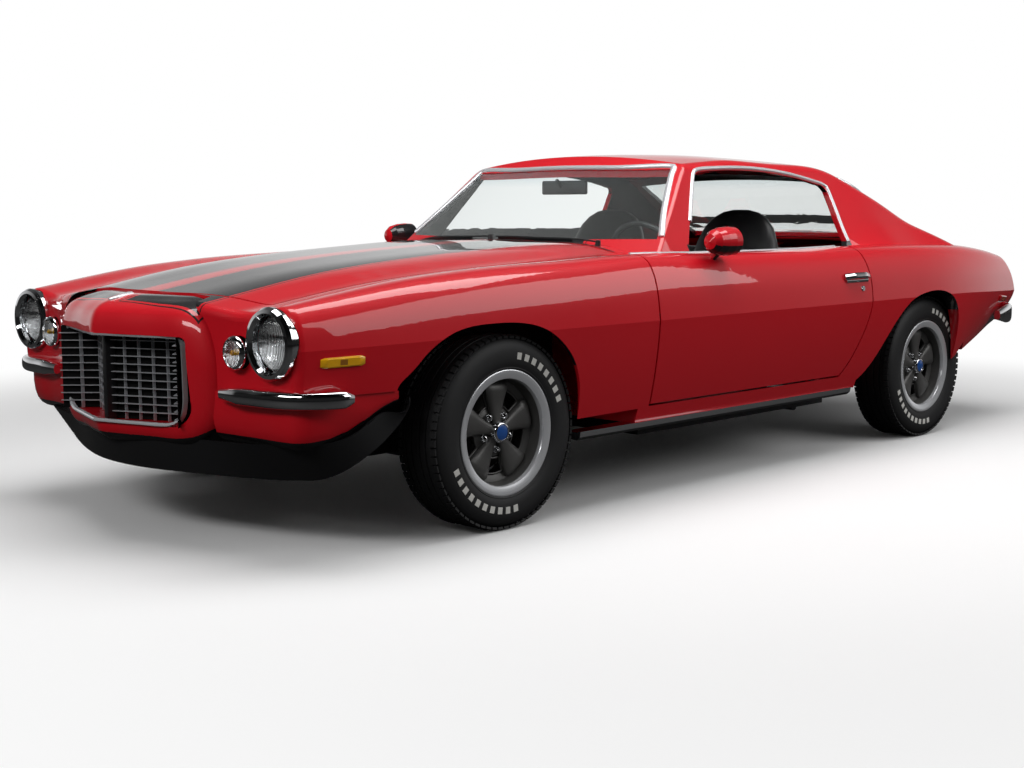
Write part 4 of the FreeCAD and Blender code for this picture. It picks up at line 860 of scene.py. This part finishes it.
class FitGrille(bpy.types.Operator):
    """Build the vee grille: thin bright bars before a black sheet of painted shade, a dark prow and a
    bright surround
    """

    bl_idname = "car.fit_grille"
    bl_label = "Fit the grille"

    def execute(self, context):
        low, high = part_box("grille")
        self.bottom, self.top, self.wide = low.z, high.z, high.x
        self.add_shade_sheet()
        self.add_bars()
        self.add_surround()
        return {"FINISHED"}

    def run(self, ahead):
        """The vee and its flared ends in plan, an amount ahead of the CAD bars' back."""
        right = [(0.012, station(-0.92) - ahead), (0.262 - 0.4 * ahead, station(-0.812) - ahead),
                 (0.352, station(-0.917) - 0.4 * ahead)]
        return [(-x, y) for x, y in reversed(right)] + right

    def add_shade_sheet(self):
        """The black panel behind the bars, which is painted shade of the hollow behind them, and the dark
        post at the prow.
        """
        bottom, top, wall = self.bottom, self.top, station(-0.9225)
        shape = bmesh.new()
        half = (top - bottom) / 2
        path = [Vector((x, y, bottom + half)) for x, y in self.run(0.003)]
        swept(shape, path, UP, [(-0.001, -half), (0.001, -half), (0.001, half), (-0.001, half)])
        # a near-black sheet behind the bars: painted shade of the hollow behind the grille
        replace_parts(trim_object("grille_shade_sheet", shape, "chassis", "depth_black"), "grille")
        post = bmesh.new()
        block(post, (-0.012, wall - 0.04, bottom), (0.012, wall - 0.002, top), 0.004)
        trim_object("grille_post", post, "chassis", "black_trim")

    def add_bars(self):
        """Ten level bars across the vee and its flares, and the upright ones behind them."""
        bottom, top, thin = self.bottom, self.top, 0.0013
        level, upright, pitch, outermost = 10, 5, 0.0505, 0.3
        shape = bmesh.new()
        section = [(-0.006, -thin), (0.006, -thin), (0.006, thin), (-0.006, thin)]
        for k in range(1, level + 1):
            z = bottom + (top - bottom) * k / (level + 1)
            swept(shape, [Vector((x, y, z)) for x, y in self.run(0.02)], UP, section)
        for side in (1, -1):
            for k in range(1, upright + 1):
                x = side * pitch * k
                y = station(-0.922) + 0.42 * abs(x) - 0.016
                block(shape, (x - thin, y - 0.005, bottom), (x + thin, y + 0.005, top))
            x = side * outermost
            block(shape, (x - thin, station(-0.88), bottom), (x + thin, station(-0.868), top))
        trim_object("grille_bars", shape, "chassis", "grille_bar")

    def add_surround(self):
        """The bright moulding along the edge of the opening."""
        bottom, top, wide = self.bottom, self.top, self.wide
        shape = bmesh.new()
        corners = [(0.0, top), (wide * 0.5, top), (wide - 0.03, top), (wide - 0.01, top - 0.01),
                   (wide - 0.003, top - 0.034), (wide, (top + bottom) / 2), (wide - 0.001, bottom + 0.07),
                   (wide - 0.016, bottom + 0.026), (wide - 0.06, bottom + 0.003), (wide * 0.5, bottom),
                   (0.0, bottom)]
        middle = Vector((wide / 2, 0.0, (top + bottom) / 2))
        outline = [(-0.008, -0.002), (0.008, -0.002), (0.008, 0.004), (0.006, 0.007), (-0.006, 0.007),
                   (-0.008, 0.004)]
        for side in (1, -1):
            run = smooth_run([(side * x, station(-0.998) + 0.3 * x, z) for x, z in corners], 60)
            ups = []
            for place in run:
                inward = Vector((side * middle.x - place.x, 0.0, middle.z - place.z))
                if abs(place.x) < wide - 0.055:
                    inward = Vector((0.0, 0.0, middle.z - place.z))
                ups.append(inward.normalized())
            swept(shape, run, ups, outline)
        trim_object("grille_moulding", shape, "chassis")


class FitCabin(bpy.types.Operator):
    """Build the padded seats, the pleated bench, the dashboard's dials and the mirror"""

    bl_idname = "car.fit_cabin"
    bl_label = "Fit the cabin"

    def execute(self, context):
        for _, name in SIDES:
            self.add_seat(name)
        self.add_bench()
        self.add_dials()
        return {"FINISHED"}

    def add_seat(self, name):
        """A high-backed bucket: a pleated cushion, side bolsters and a rounded back."""
        low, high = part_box("seat_" + name)
        middle = (low.x + high.x) / 2
        shape = bmesh.new()
        # left, front, foot, right, rear, top and rounding: the cushion, its bolsters and its pleats
        blocks = [(-0.215, 1.345, low.z + 0.02, 0.215, 1.87, 0.35, 0.03)]
        blocks += [(x - 0.036, 1.36, low.z + 0.06, x + 0.036, 1.86, 0.392, 0.03) for x in (-0.192, 0.192)]
        starts = [1.4 + 0.072 * k for k in range(6)]
        blocks += [(-0.155, s, 0.31, 0.155, s + 0.07, 0.378, 0.016) for s in starts]
        for left, front, foot, right, rear, top, rounding in blocks:
            low, high = (middle + left, station(front), foot), (middle + right, station(rear), top)
            block(shape, low, high, rounding, 4)
        # station, height, half width and half depth up the back
        profile = [(1.835, 0.33, 0.225, 0.062), (1.855, 0.48, 0.232, 0.064), (1.885, 0.64, 0.235, 0.062),
                   (1.918, 0.8, 0.228, 0.056), (1.94, 0.9, 0.208, 0.05), (1.955, 0.965, 0.178, 0.044),
                   (1.965, 1.005, 0.14, 0.036), (1.97, 1.03, 0.095, 0.024), (1.972, 1.041, 0.045, 0.01)]
        path = [Vector((middle, station(s), z)) for s, z, wide, deep in profile]
        sizes = [(wide, deep) for s, z, wide, deep in profile]
        turns = [math.tau * k / 20 for k in range(20)]
        outline = [(squared(math.cos(a), 0.6), squared(math.sin(a), 0.8)) for a in turns]
        swept(shape, path, Vector((0, -1, 0.2)), outline, sizes=sizes)
        made = new_object("padded_seat_" + name, tidy(shape, 45), "vinyl", "chassis")
        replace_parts(made, "seat_" + name)

    def add_bench(self):
        """The rear bench with upright pleats."""
        shape = bmesh.new()
        outline = [(-0.0365, -0.02), (0.0365, -0.02), (0.0365, 0.03), (0.026, 0.04), (0.0, 0.043),
                   (-0.026, 0.04), (-0.0365, 0.03)]
        back = ((2.6, 0.4), (2.64, 0.56), (2.69, 0.72), (2.735, 0.838))
        pleats, pitch = 16, 0.0738
        for k in range(pleats):
            x = -0.59 + pitch * k
            block(shape, (x, station(2.285), 0.36), (x + 0.0735, station(2.6), 0.44), 0.02, 4)
            path = [Vector((x + 0.0368, station(s), z)) for s, z in back]
            swept(shape, path, Vector((0, -1, 0.3)), outline)
        made = new_object("bench_pleats", tidy(shape, 45), "vinyl", "chassis")

    def add_dials(self):
        """Round dials in the dashboard before the driver, and the inside mirror."""
        shape = bmesh.new()
        for x, radius in ((0.29, 0.052), (0.45, 0.052), (0.37, 0.03), (0.205, 0.026), (0.535, 0.026)):
            drum(shape, Vector((x, station(1.118), 0.755)), (0, 1, 0.2), radius, 0.016, 32)
        trim_object("dash_dials", shape, "chassis", "reflector")
        shape = bmesh.new()
        block(shape, (-0.125, station(1.215), 1.108), (0.125, station(1.235), 1.166), 0.008, 3)
        stem = [Vector((0, station(1.205), 1.14)), Vector((0, station(1.175), 1.168))]
        swept(shape, stem, UP, [(-0.006, -0.006), (0.006, -0.006), (0.006, 0.006), (-0.006, 0.006)])
        new_object("inside_mirror", tidy(shape), "black_trim", "chassis")


class FitBodyTrim(bpy.types.Operator):
    """Add the door handles, mouldings, cowl, wipers, bumper bars, side markers and the front apron"""

    bl_idname = "car.fit_body_trim"
    bl_label = "Fit the body trim"

    def execute(self, context):
        for side, name in SIDES:
            door = surface_of("door_" + name)
            self.add_handle(door, side, name)
            self.add_belt(door, side, name)
        self.add_cowl(surface_of("body_shell"))
        self.add_wipers(surface_of("windshield", "body_shell"))
        self.add_hood_bar(surface_of("header_panel", "grille_surround"))
        self.add_bumpers()
        self.add_markers()
        self.add_valance()
        return {"FINISHED"}

    def add_valance(self):
        """The apron under the bumper bars, rolled under along its lower edge, which rises to the arch."""
        shape = bmesh.new()
        # the x, station and lower edge along the apron
        rows = [(0.44, -0.85, 0.352), (0.53, -0.836, 0.35), (0.62, -0.824, 0.349), (0.71, -0.818, 0.348),
                (0.772, -0.806, 0.348), (0.806, -0.776, 0.348), (0.822, -0.73, 0.35), (0.832, -0.68, 0.36),
                (0.842, -0.62, 0.384), (0.85, -0.56, 0.416), (0.858, -0.5, 0.452), (0.862, -0.462, 0.476)]
        top = 0.5075
        profile = [(0.0, 0.0), (0.0, -0.45), (-0.004, -0.66), (-0.012, -0.82), (-0.024, -0.93),
                   (-0.04, -1.0), (-0.044, -0.98), (-0.028, -0.9), (-0.016, -0.79), (-0.008, -0.64),
                   (-0.004, -0.45), (-0.004, 0.0)]
        count = 48
        for side in (1, -1):
            plan = smooth_run([(side * x, station(s), 0) for x, s, low in rows], count)
            lows = [min(rows, key=lambda row: abs(station(row[1]) - p.y) + abs(row[0] - abs(p.x)))[2]
                    for p in plan]
            near = [lows[max(0, k - 3):k + 4] for k in range(count)]
            sizes = [(1.0, top - sum(some) / len(some)) for some in near]
            outline = [(side * out, down) for out, down in profile]
            swept(shape, [Vector((p.x, p.y, top)) for p in plan], UP, outline, sizes=sizes)
        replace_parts(new_object("valance_skin", tidy(shape), "paint", "chassis"), "front_valance")

    def add_bumpers(self):
        """Smooth bright bars for the CAD's plainer ones: one at each front corner, one across the tail."""
        turns = [math.tau * k / 24 for k in range(24)]
        oval = [(0.021 * squared(math.cos(a), 0.8), 0.0265 * squared(math.sin(a), 0.7)) for a in turns]
        shape = bmesh.new()
        corner = [(0.5, -0.858), (0.56, -0.856), (0.64, -0.848), (0.73, -0.838), (0.8, -0.812),
                  (0.85, -0.762), (0.875, -0.712), (0.886, -0.66)]
        count = 48
        for side in (1, -1):
            run = smooth_run([(side * x, station(s), 0.503) for x, s in corner], count)
            ends = [min(1.0, 0.62 + 2.2 * k / count, 0.5 + 9.0 * (count - 1 - k) / count)
                    for k in range(count)]
            swept(shape, run, UP, oval, sizes=[(size, size) for size in ends])
        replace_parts(new_object("bumper_bars", tidy(shape), "chrome", "chassis"), "bumpers_front")
        shape = bmesh.new()
        half = [(0.25, 3.741), (0.48, 3.738), (0.64, 3.73), (0.74, 3.708), (0.8, 3.662), (0.826, 3.6),
                (0.842, 3.52), (0.852, 3.44)]
        points = [(-x, s) for x, s in reversed(half)] + [(0.0, 3.741)] + half
        count = 120
        run = smooth_run([(x, station(s), 0.52) for x, s in points], count)
        sizes = [(0.72, 1.72 * min(1.0, 0.5 + 8.0 * min(k, count - 1 - k) / count)) for k in range(count)]
        swept(shape, run, UP, oval, sizes=sizes)
        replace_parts(new_object("rear_bumper_bar", tidy(shape), "chrome", "chassis"), "bumper_rear")

    def add_markers(self):
        """The side marker lamps: a ribbed lens with rounded ends in a thin rim, darker in its middle, where
        the bulb and the shade of the lamp's hollow are painted on a sheet.
        """
        skin = surface_of("fender_left", "fender_right", "body_shell")
        for kind, slot, start, end in (("front", "amber_lens", (-0.742, 0.6105), (-0.596, 0.6125)),
                                       ("rear", "red_lens", (3.466, 0.603), (3.584, 0.594))):
            lens, dark = bmesh.new(), bmesh.new()
            run = [[a + k / 12 * (b - a) for a, b in zip(start, end)] for k in range(13)]
            for side in (1, -1):
                path, ups = skin_run(on_side(skin, s, z, side) for s, z in run)
                sizes = [(min(1.0, 0.72 + 0.28 * min(k, 12 - k)), min(1.0, 0.5 + 0.5 * min(k, 12 - k)))
                         for k in range(13)]
                swept(lens, path, ups, [(-0.0155, 0.0), (-0.0145, 0.006), (-0.011, 0.0085), (0.011, 0.0085),
                                        (0.0145, 0.006), (0.0155, 0.0)], sizes=sizes)
                # the bulb and the painted shade of the lamp's hollow round it, on a thin sheet over the
                # lens's middle
                middle = [p + u * 0.0082 for p, u in zip(path[5:8], ups[5:8])]
                flat = [(-0.008, 0.0), (-0.008, 0.0006), (0.008, 0.0006), (0.008, 0.0)]
                swept(dark, middle, ups[5:8], flat)
            made = new_object("marker_lens_" + kind, tidy(lens), slot, "chassis")
            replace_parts(made, "side_markers_" + kind)
            trim_object("marker_bulb_and_shade_" + kind, dark, "chassis", "bulb_shade")

    def add_handle(self, door, side, name):
        """A pull-up handle over its chrome base, and a round lock."""
        body = "door_" + name
        shape = bmesh.new()
        path, ups = skin_run(on_side(door, 1.925 + 0.182 * k / 14, 0.7655, side) for k in range(15))
        lifts = [0.016 * min(1.0, 4.0 * min(k, 14 - k) / 14) + 0.003 for k in range(15)]
        swept(shape, [p + up * lift for p, up, lift in zip(path, ups, lifts)], ups,
              [(-0.0135, 0.0), (-0.0125, 0.004), (-0.006, 0.0075), (0.006, 0.0075), (0.0125, 0.004),
               (0.0135, 0.0), (0.01, -0.003), (-0.01, -0.003)])
        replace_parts(new_object("pull_handle_" + name, tidy(shape), "chrome", body), "door_handle_" + name)
        shape = bmesh.new()
        base = skin_run(on_side(door, 1.935 + 0.164 * k / 8, 0.7505, side) for k in range(9))
        swept(shape, *base, half_round(0.022, 0.007))
        new_object("handle_base_" + name, tidy(shape), "chrome", body)
        place, up = on_side(door, 2.058, 0.714, side)
        shape = bmesh.new()
        drum(shape, place + up * 0.0015, up, 0.0125, 0.006, 24, 0.0105)
        drum(shape, place + up * 0.0045, up, 0.007, 0.002, 20)
        slit = bmesh.ops.create_cube(shape, size=1.0)["verts"]
        bmesh.ops.scale(shape, vec=(0.0006, 0.0012, 0.008), verts=slit)
        bmesh.ops.translate(shape, vec=place + up * 0.0056, verts=slit)
        new_object("door_lock_" + name, tidy(shape), "chrome", body)

    def add_belt(self, door, side, name):
        """The bright moulding along the door's top edge."""
        shape = bmesh.new()
        met = skin_run(on_top(door, side * 0.768, 0.735 + (2.095 - 0.735) * k / 49) for k in range(50))
        swept(shape, *met, half_round(0.012, 0.005))
        trim_object("belt_moulding_" + name, shape, "door_" + name)

    def add_cowl(self, shell):
        """The slotted black panel between hood and windshield."""
        shape = bmesh.new()
        slots, reach = 46, 0.58
        for k in range(slots):
            x = -reach + 2 * reach * k / (slots - 1)
            place, normal = on_top(shell, x, 0.807 + 0.1 * x * x)
            if place is None:
                continue
            verts = bmesh.ops.create_cube(shape, size=1.0)["verts"]
            bmesh.ops.scale(shape, vec=(0.009, 0.052, 0.003), verts=verts)
            turn = normal.to_track_quat("Z", "Y").to_matrix().to_4x4()
            bmesh.ops.transform(shape, matrix=Matrix.Translation(place) @ turn, verts=verts)
        new_object("cowl_slots", tidy(shape), "black_trim", "chassis")

    def add_wipers(self, glass):
        """Two black arms and blades lying at the foot of the windshield."""
        shape = bmesh.new()
        for pivot, tip in ((0.5, -0.06), (-0.06, -0.58)):
            met = []
            for k in range(17):
                x = pivot + (tip - pivot) * k / 16
                met.append(on_top(glass, x, 0.842 + 0.1 * x * x + 0.035 * k / 16))
            path, ups = skin_run(met)
            path = [p + up * 0.014 for p, up in zip(path, ups)]
            swept(shape, path, ups, [(-0.005, -0.003), (0.005, -0.003), (0.0035, 0.003), (-0.0035, 0.003)])
            blade = [p + Vector((0, 0.012, 0.0)) for p in path[4:]]
            swept(shape, blade, ups[4:], [(-0.002, -0.013), (0.002, -0.013), (0.004, 0.0), (-0.004, 0.0)])
            drum(shape, path[0] - ups[0] * 0.004, ups[0], 0.012, 0.022, 20, 0.009)
        new_object("wipers", tidy(shape), "black_trim", "chassis")

    def add_hood_bar(self, skin):
        """The plain bright bar that lies lengthwise on the nose."""
        shape = bmesh.new()
        met = skin_run(on_top(skin, 0, -0.935 + 0.082 * k / 8) for k in range(9))
        sizes = [(0.5 + 0.5 * min(1.0, 3 * k / 8), 1.0) for k in range(9)]
        swept(shape, *met, half_round(0.024, 0.007), sizes=sizes)
        trim_object("nose_bar", shape, "chassis")


class SetStage(bpy.types.Operator):
    """Set the floor, the soft lights and the camera"""

    bl_idname = "car.set_stage"
    bl_label = "Set the stage"

    def execute(self, context):
        scene, settings = context.scene, context.scene.car_stage
        scene.view_settings.view_transform = "Standard"
        self.light_world(scene)
        self.lay_floor(scene, settings)
        self.hang_lights(scene)
        self.place_camera(scene, settings)
        return {"FINISHED"}

    def light_world(self, scene):
        """A studio: a white backdrop beyond the car, dim where the camera stands."""
        world = bpy.data.worlds.new("Studio")
        scene.world = world
        world.use_nodes = True
        tree = world.node_tree
        tree.nodes.clear()
        path = add(tree, "ShaderNodeLightPath")
        seen = maths(tree, "MAXIMUM", path.outputs["Is Camera Ray"], path.outputs["Is Transmission Ray"])
        where = coordinates(tree, "Generated")
        beyond = add(tree, "ShaderNodeVectorMath", {0: where, 1: (-0.7, 0.71, 0.1)},
                     operation="DOT_PRODUCT").outputs["Value"]
        glow = ramp(tree, beyond, 0.05, 0.6, 0.012, 0.75)
        low = ramp(tree, axes(tree, where)[2], 0.1, 0.5, 1.0, 0.1)
        glossy = maths(tree, "MULTIPLY", path.outputs["Is Glossy Ray"], maths(tree, "MULTIPLY", glow, low))
        plain = maths(tree, "MULTIPLY", maths(tree, "SUBTRACT", 1.0, path.outputs["Is Glossy Ray"]), 0.22)
        strength = maths(tree, "MAXIMUM", seen, maths(tree, "ADD", glossy, plain))
        back = add(tree, "ShaderNodeBackground", {"Color": (1, 1, 1, 1), "Strength": strength})
        add(tree, "ShaderNodeOutputWorld", {0: back.outputs[0]})

    def lay_floor(self, scene, settings):
        """A pale floor that fades into the white backdrop away from the car."""
        shape = bmesh.new()
        bmesh.ops.create_circle(shape, cap_ends=True, segments=96, radius=60.0)
        floor = new_object("floor", shape, smooth=False)
        made, tree, shader = new_material("Floor", Roughness=0.7, Specular_IOR_Level=0.2)
        where = coordinates(tree)
        seen = add(tree, "ShaderNodeLightPath").outputs["Is Camera Ray"]
        lit = mixed(tree, noise(tree, where, 0.8), rgba(settings.backdrop), rgba(settings.backdrop, 1.02))
        coloured(tree, shader, seen, (0.025, 0.025, 0.025, 1), lit)
        reach = add(tree, "ShaderNodeVectorMath", {0: where}, operation="LENGTH").outputs["Value"]
        fade = ramp(tree, reach, 2.6, 5.0, interpolation_type="SMOOTHSTEP")
        glow = add(tree, "ShaderNodeEmission", {"Color": (1, 1, 1, 1), "Strength": 1.0})
        mix = add(tree, "ShaderNodeMixShader", {0: maths(tree, "MULTIPLY", fade, seen),
                                                1: shader.outputs[0], 2: glow.outputs[0]})
        tree.links.new(mix.outputs[0], tree.nodes["Material Output"].inputs["Surface"])
        floor.data.materials.append(made)

    def hang_lights(self, scene):
        """Three broad lamps: overhead, at the car's left and before its nose."""
        lights = [("overhead", (0.6, -0.4, 4.6), (0, 0, 0.5), 6.0, 2.2, 215.0),
                  ("left bank", (5.2, 2.4, 3.6), (0.5, 0.2, 0.5), 6.0, 3.0, 125.0),
                  ("nose bank", (1.0, -6.2, 3.4), (0, -1.5, 0.5), 4.0, 1.0, 100.0)]
        for name, place, aim, wide, tall, power in lights:
            data = bpy.data.lights.new(name, "AREA")
            data.shape = "RECTANGLE"
            data.size, data.size_y, data.energy = wide, tall, power
            lamp = bpy.data.objects.new(name, data)
            scene.collection.objects.link(lamp)
            lamp.location = place
            lamp.rotation_euler = (Vector(aim) - Vector(place)).to_track_quat("-Z", "Y").to_euler()

    def place_camera(self, scene, settings):
        """The camera as it was fitted to the photo."""
        data = bpy.data.cameras.new("camera")
        data.sensor_width = 36.0
        data.lens = settings.focal
        camera = bpy.data.objects.new("camera", data)
        scene.collection.objects.link(camera)
        a, e = settings.azimuth, settings.elevation
        back = Vector((math.sin(a) * math.cos(e), -math.cos(a) * math.cos(e), math.sin(e)))
        turn = (-back).to_track_quat("-Z", "Y").to_matrix() @ Matrix.Rotation(settings.roll, 3, "Z")
        camera.matrix_world = Matrix.Translation(settings.position) @ turn.to_4x4()
        scene.camera = camera


class CarPanel(bpy.types.Panel):
    """Lists the car's pieces"""

    bl_idname = "VIEW3D_PT_car"
    bl_label = "Car"
    bl_space_type = "VIEW_3D"
    bl_region_type = "UI"
    bl_category = "Car"

    def draw(self, context):
        for operator in OPERATORS:
            self.layout.operator(operator.bl_idname)


GROUPS = {"car_colours": CarColours, "car_stripes": StripeSizes, "car_stage": StageSettings}
OPERATORS = [DressSolids, DressWheels, FitMouldings, FitLamps, FitGrille, FitCabin, FitBodyTrim, SetStage]


def register():
    for made in [*GROUPS.values(), *OPERATORS, CarPanel]:
        bpy.utils.register_class(made)
    for name, group in GROUPS.items():
        setattr(bpy.types.Scene, name, bpy.props.PointerProperty(type=group))


def unregister():
    for name in GROUPS:
        delattr(bpy.types.Scene, name)
    for made in reversed([*GROUPS.values(), *OPERATORS, CarPanel]):
        bpy.utils.unregister_class(made)


def main():
    register()
    for operator in OPERATORS:
        group, name = operator.bl_idname.split(".")
        getattr(getattr(bpy.ops, group), name)()


if __name__ == "__main__":
    main()
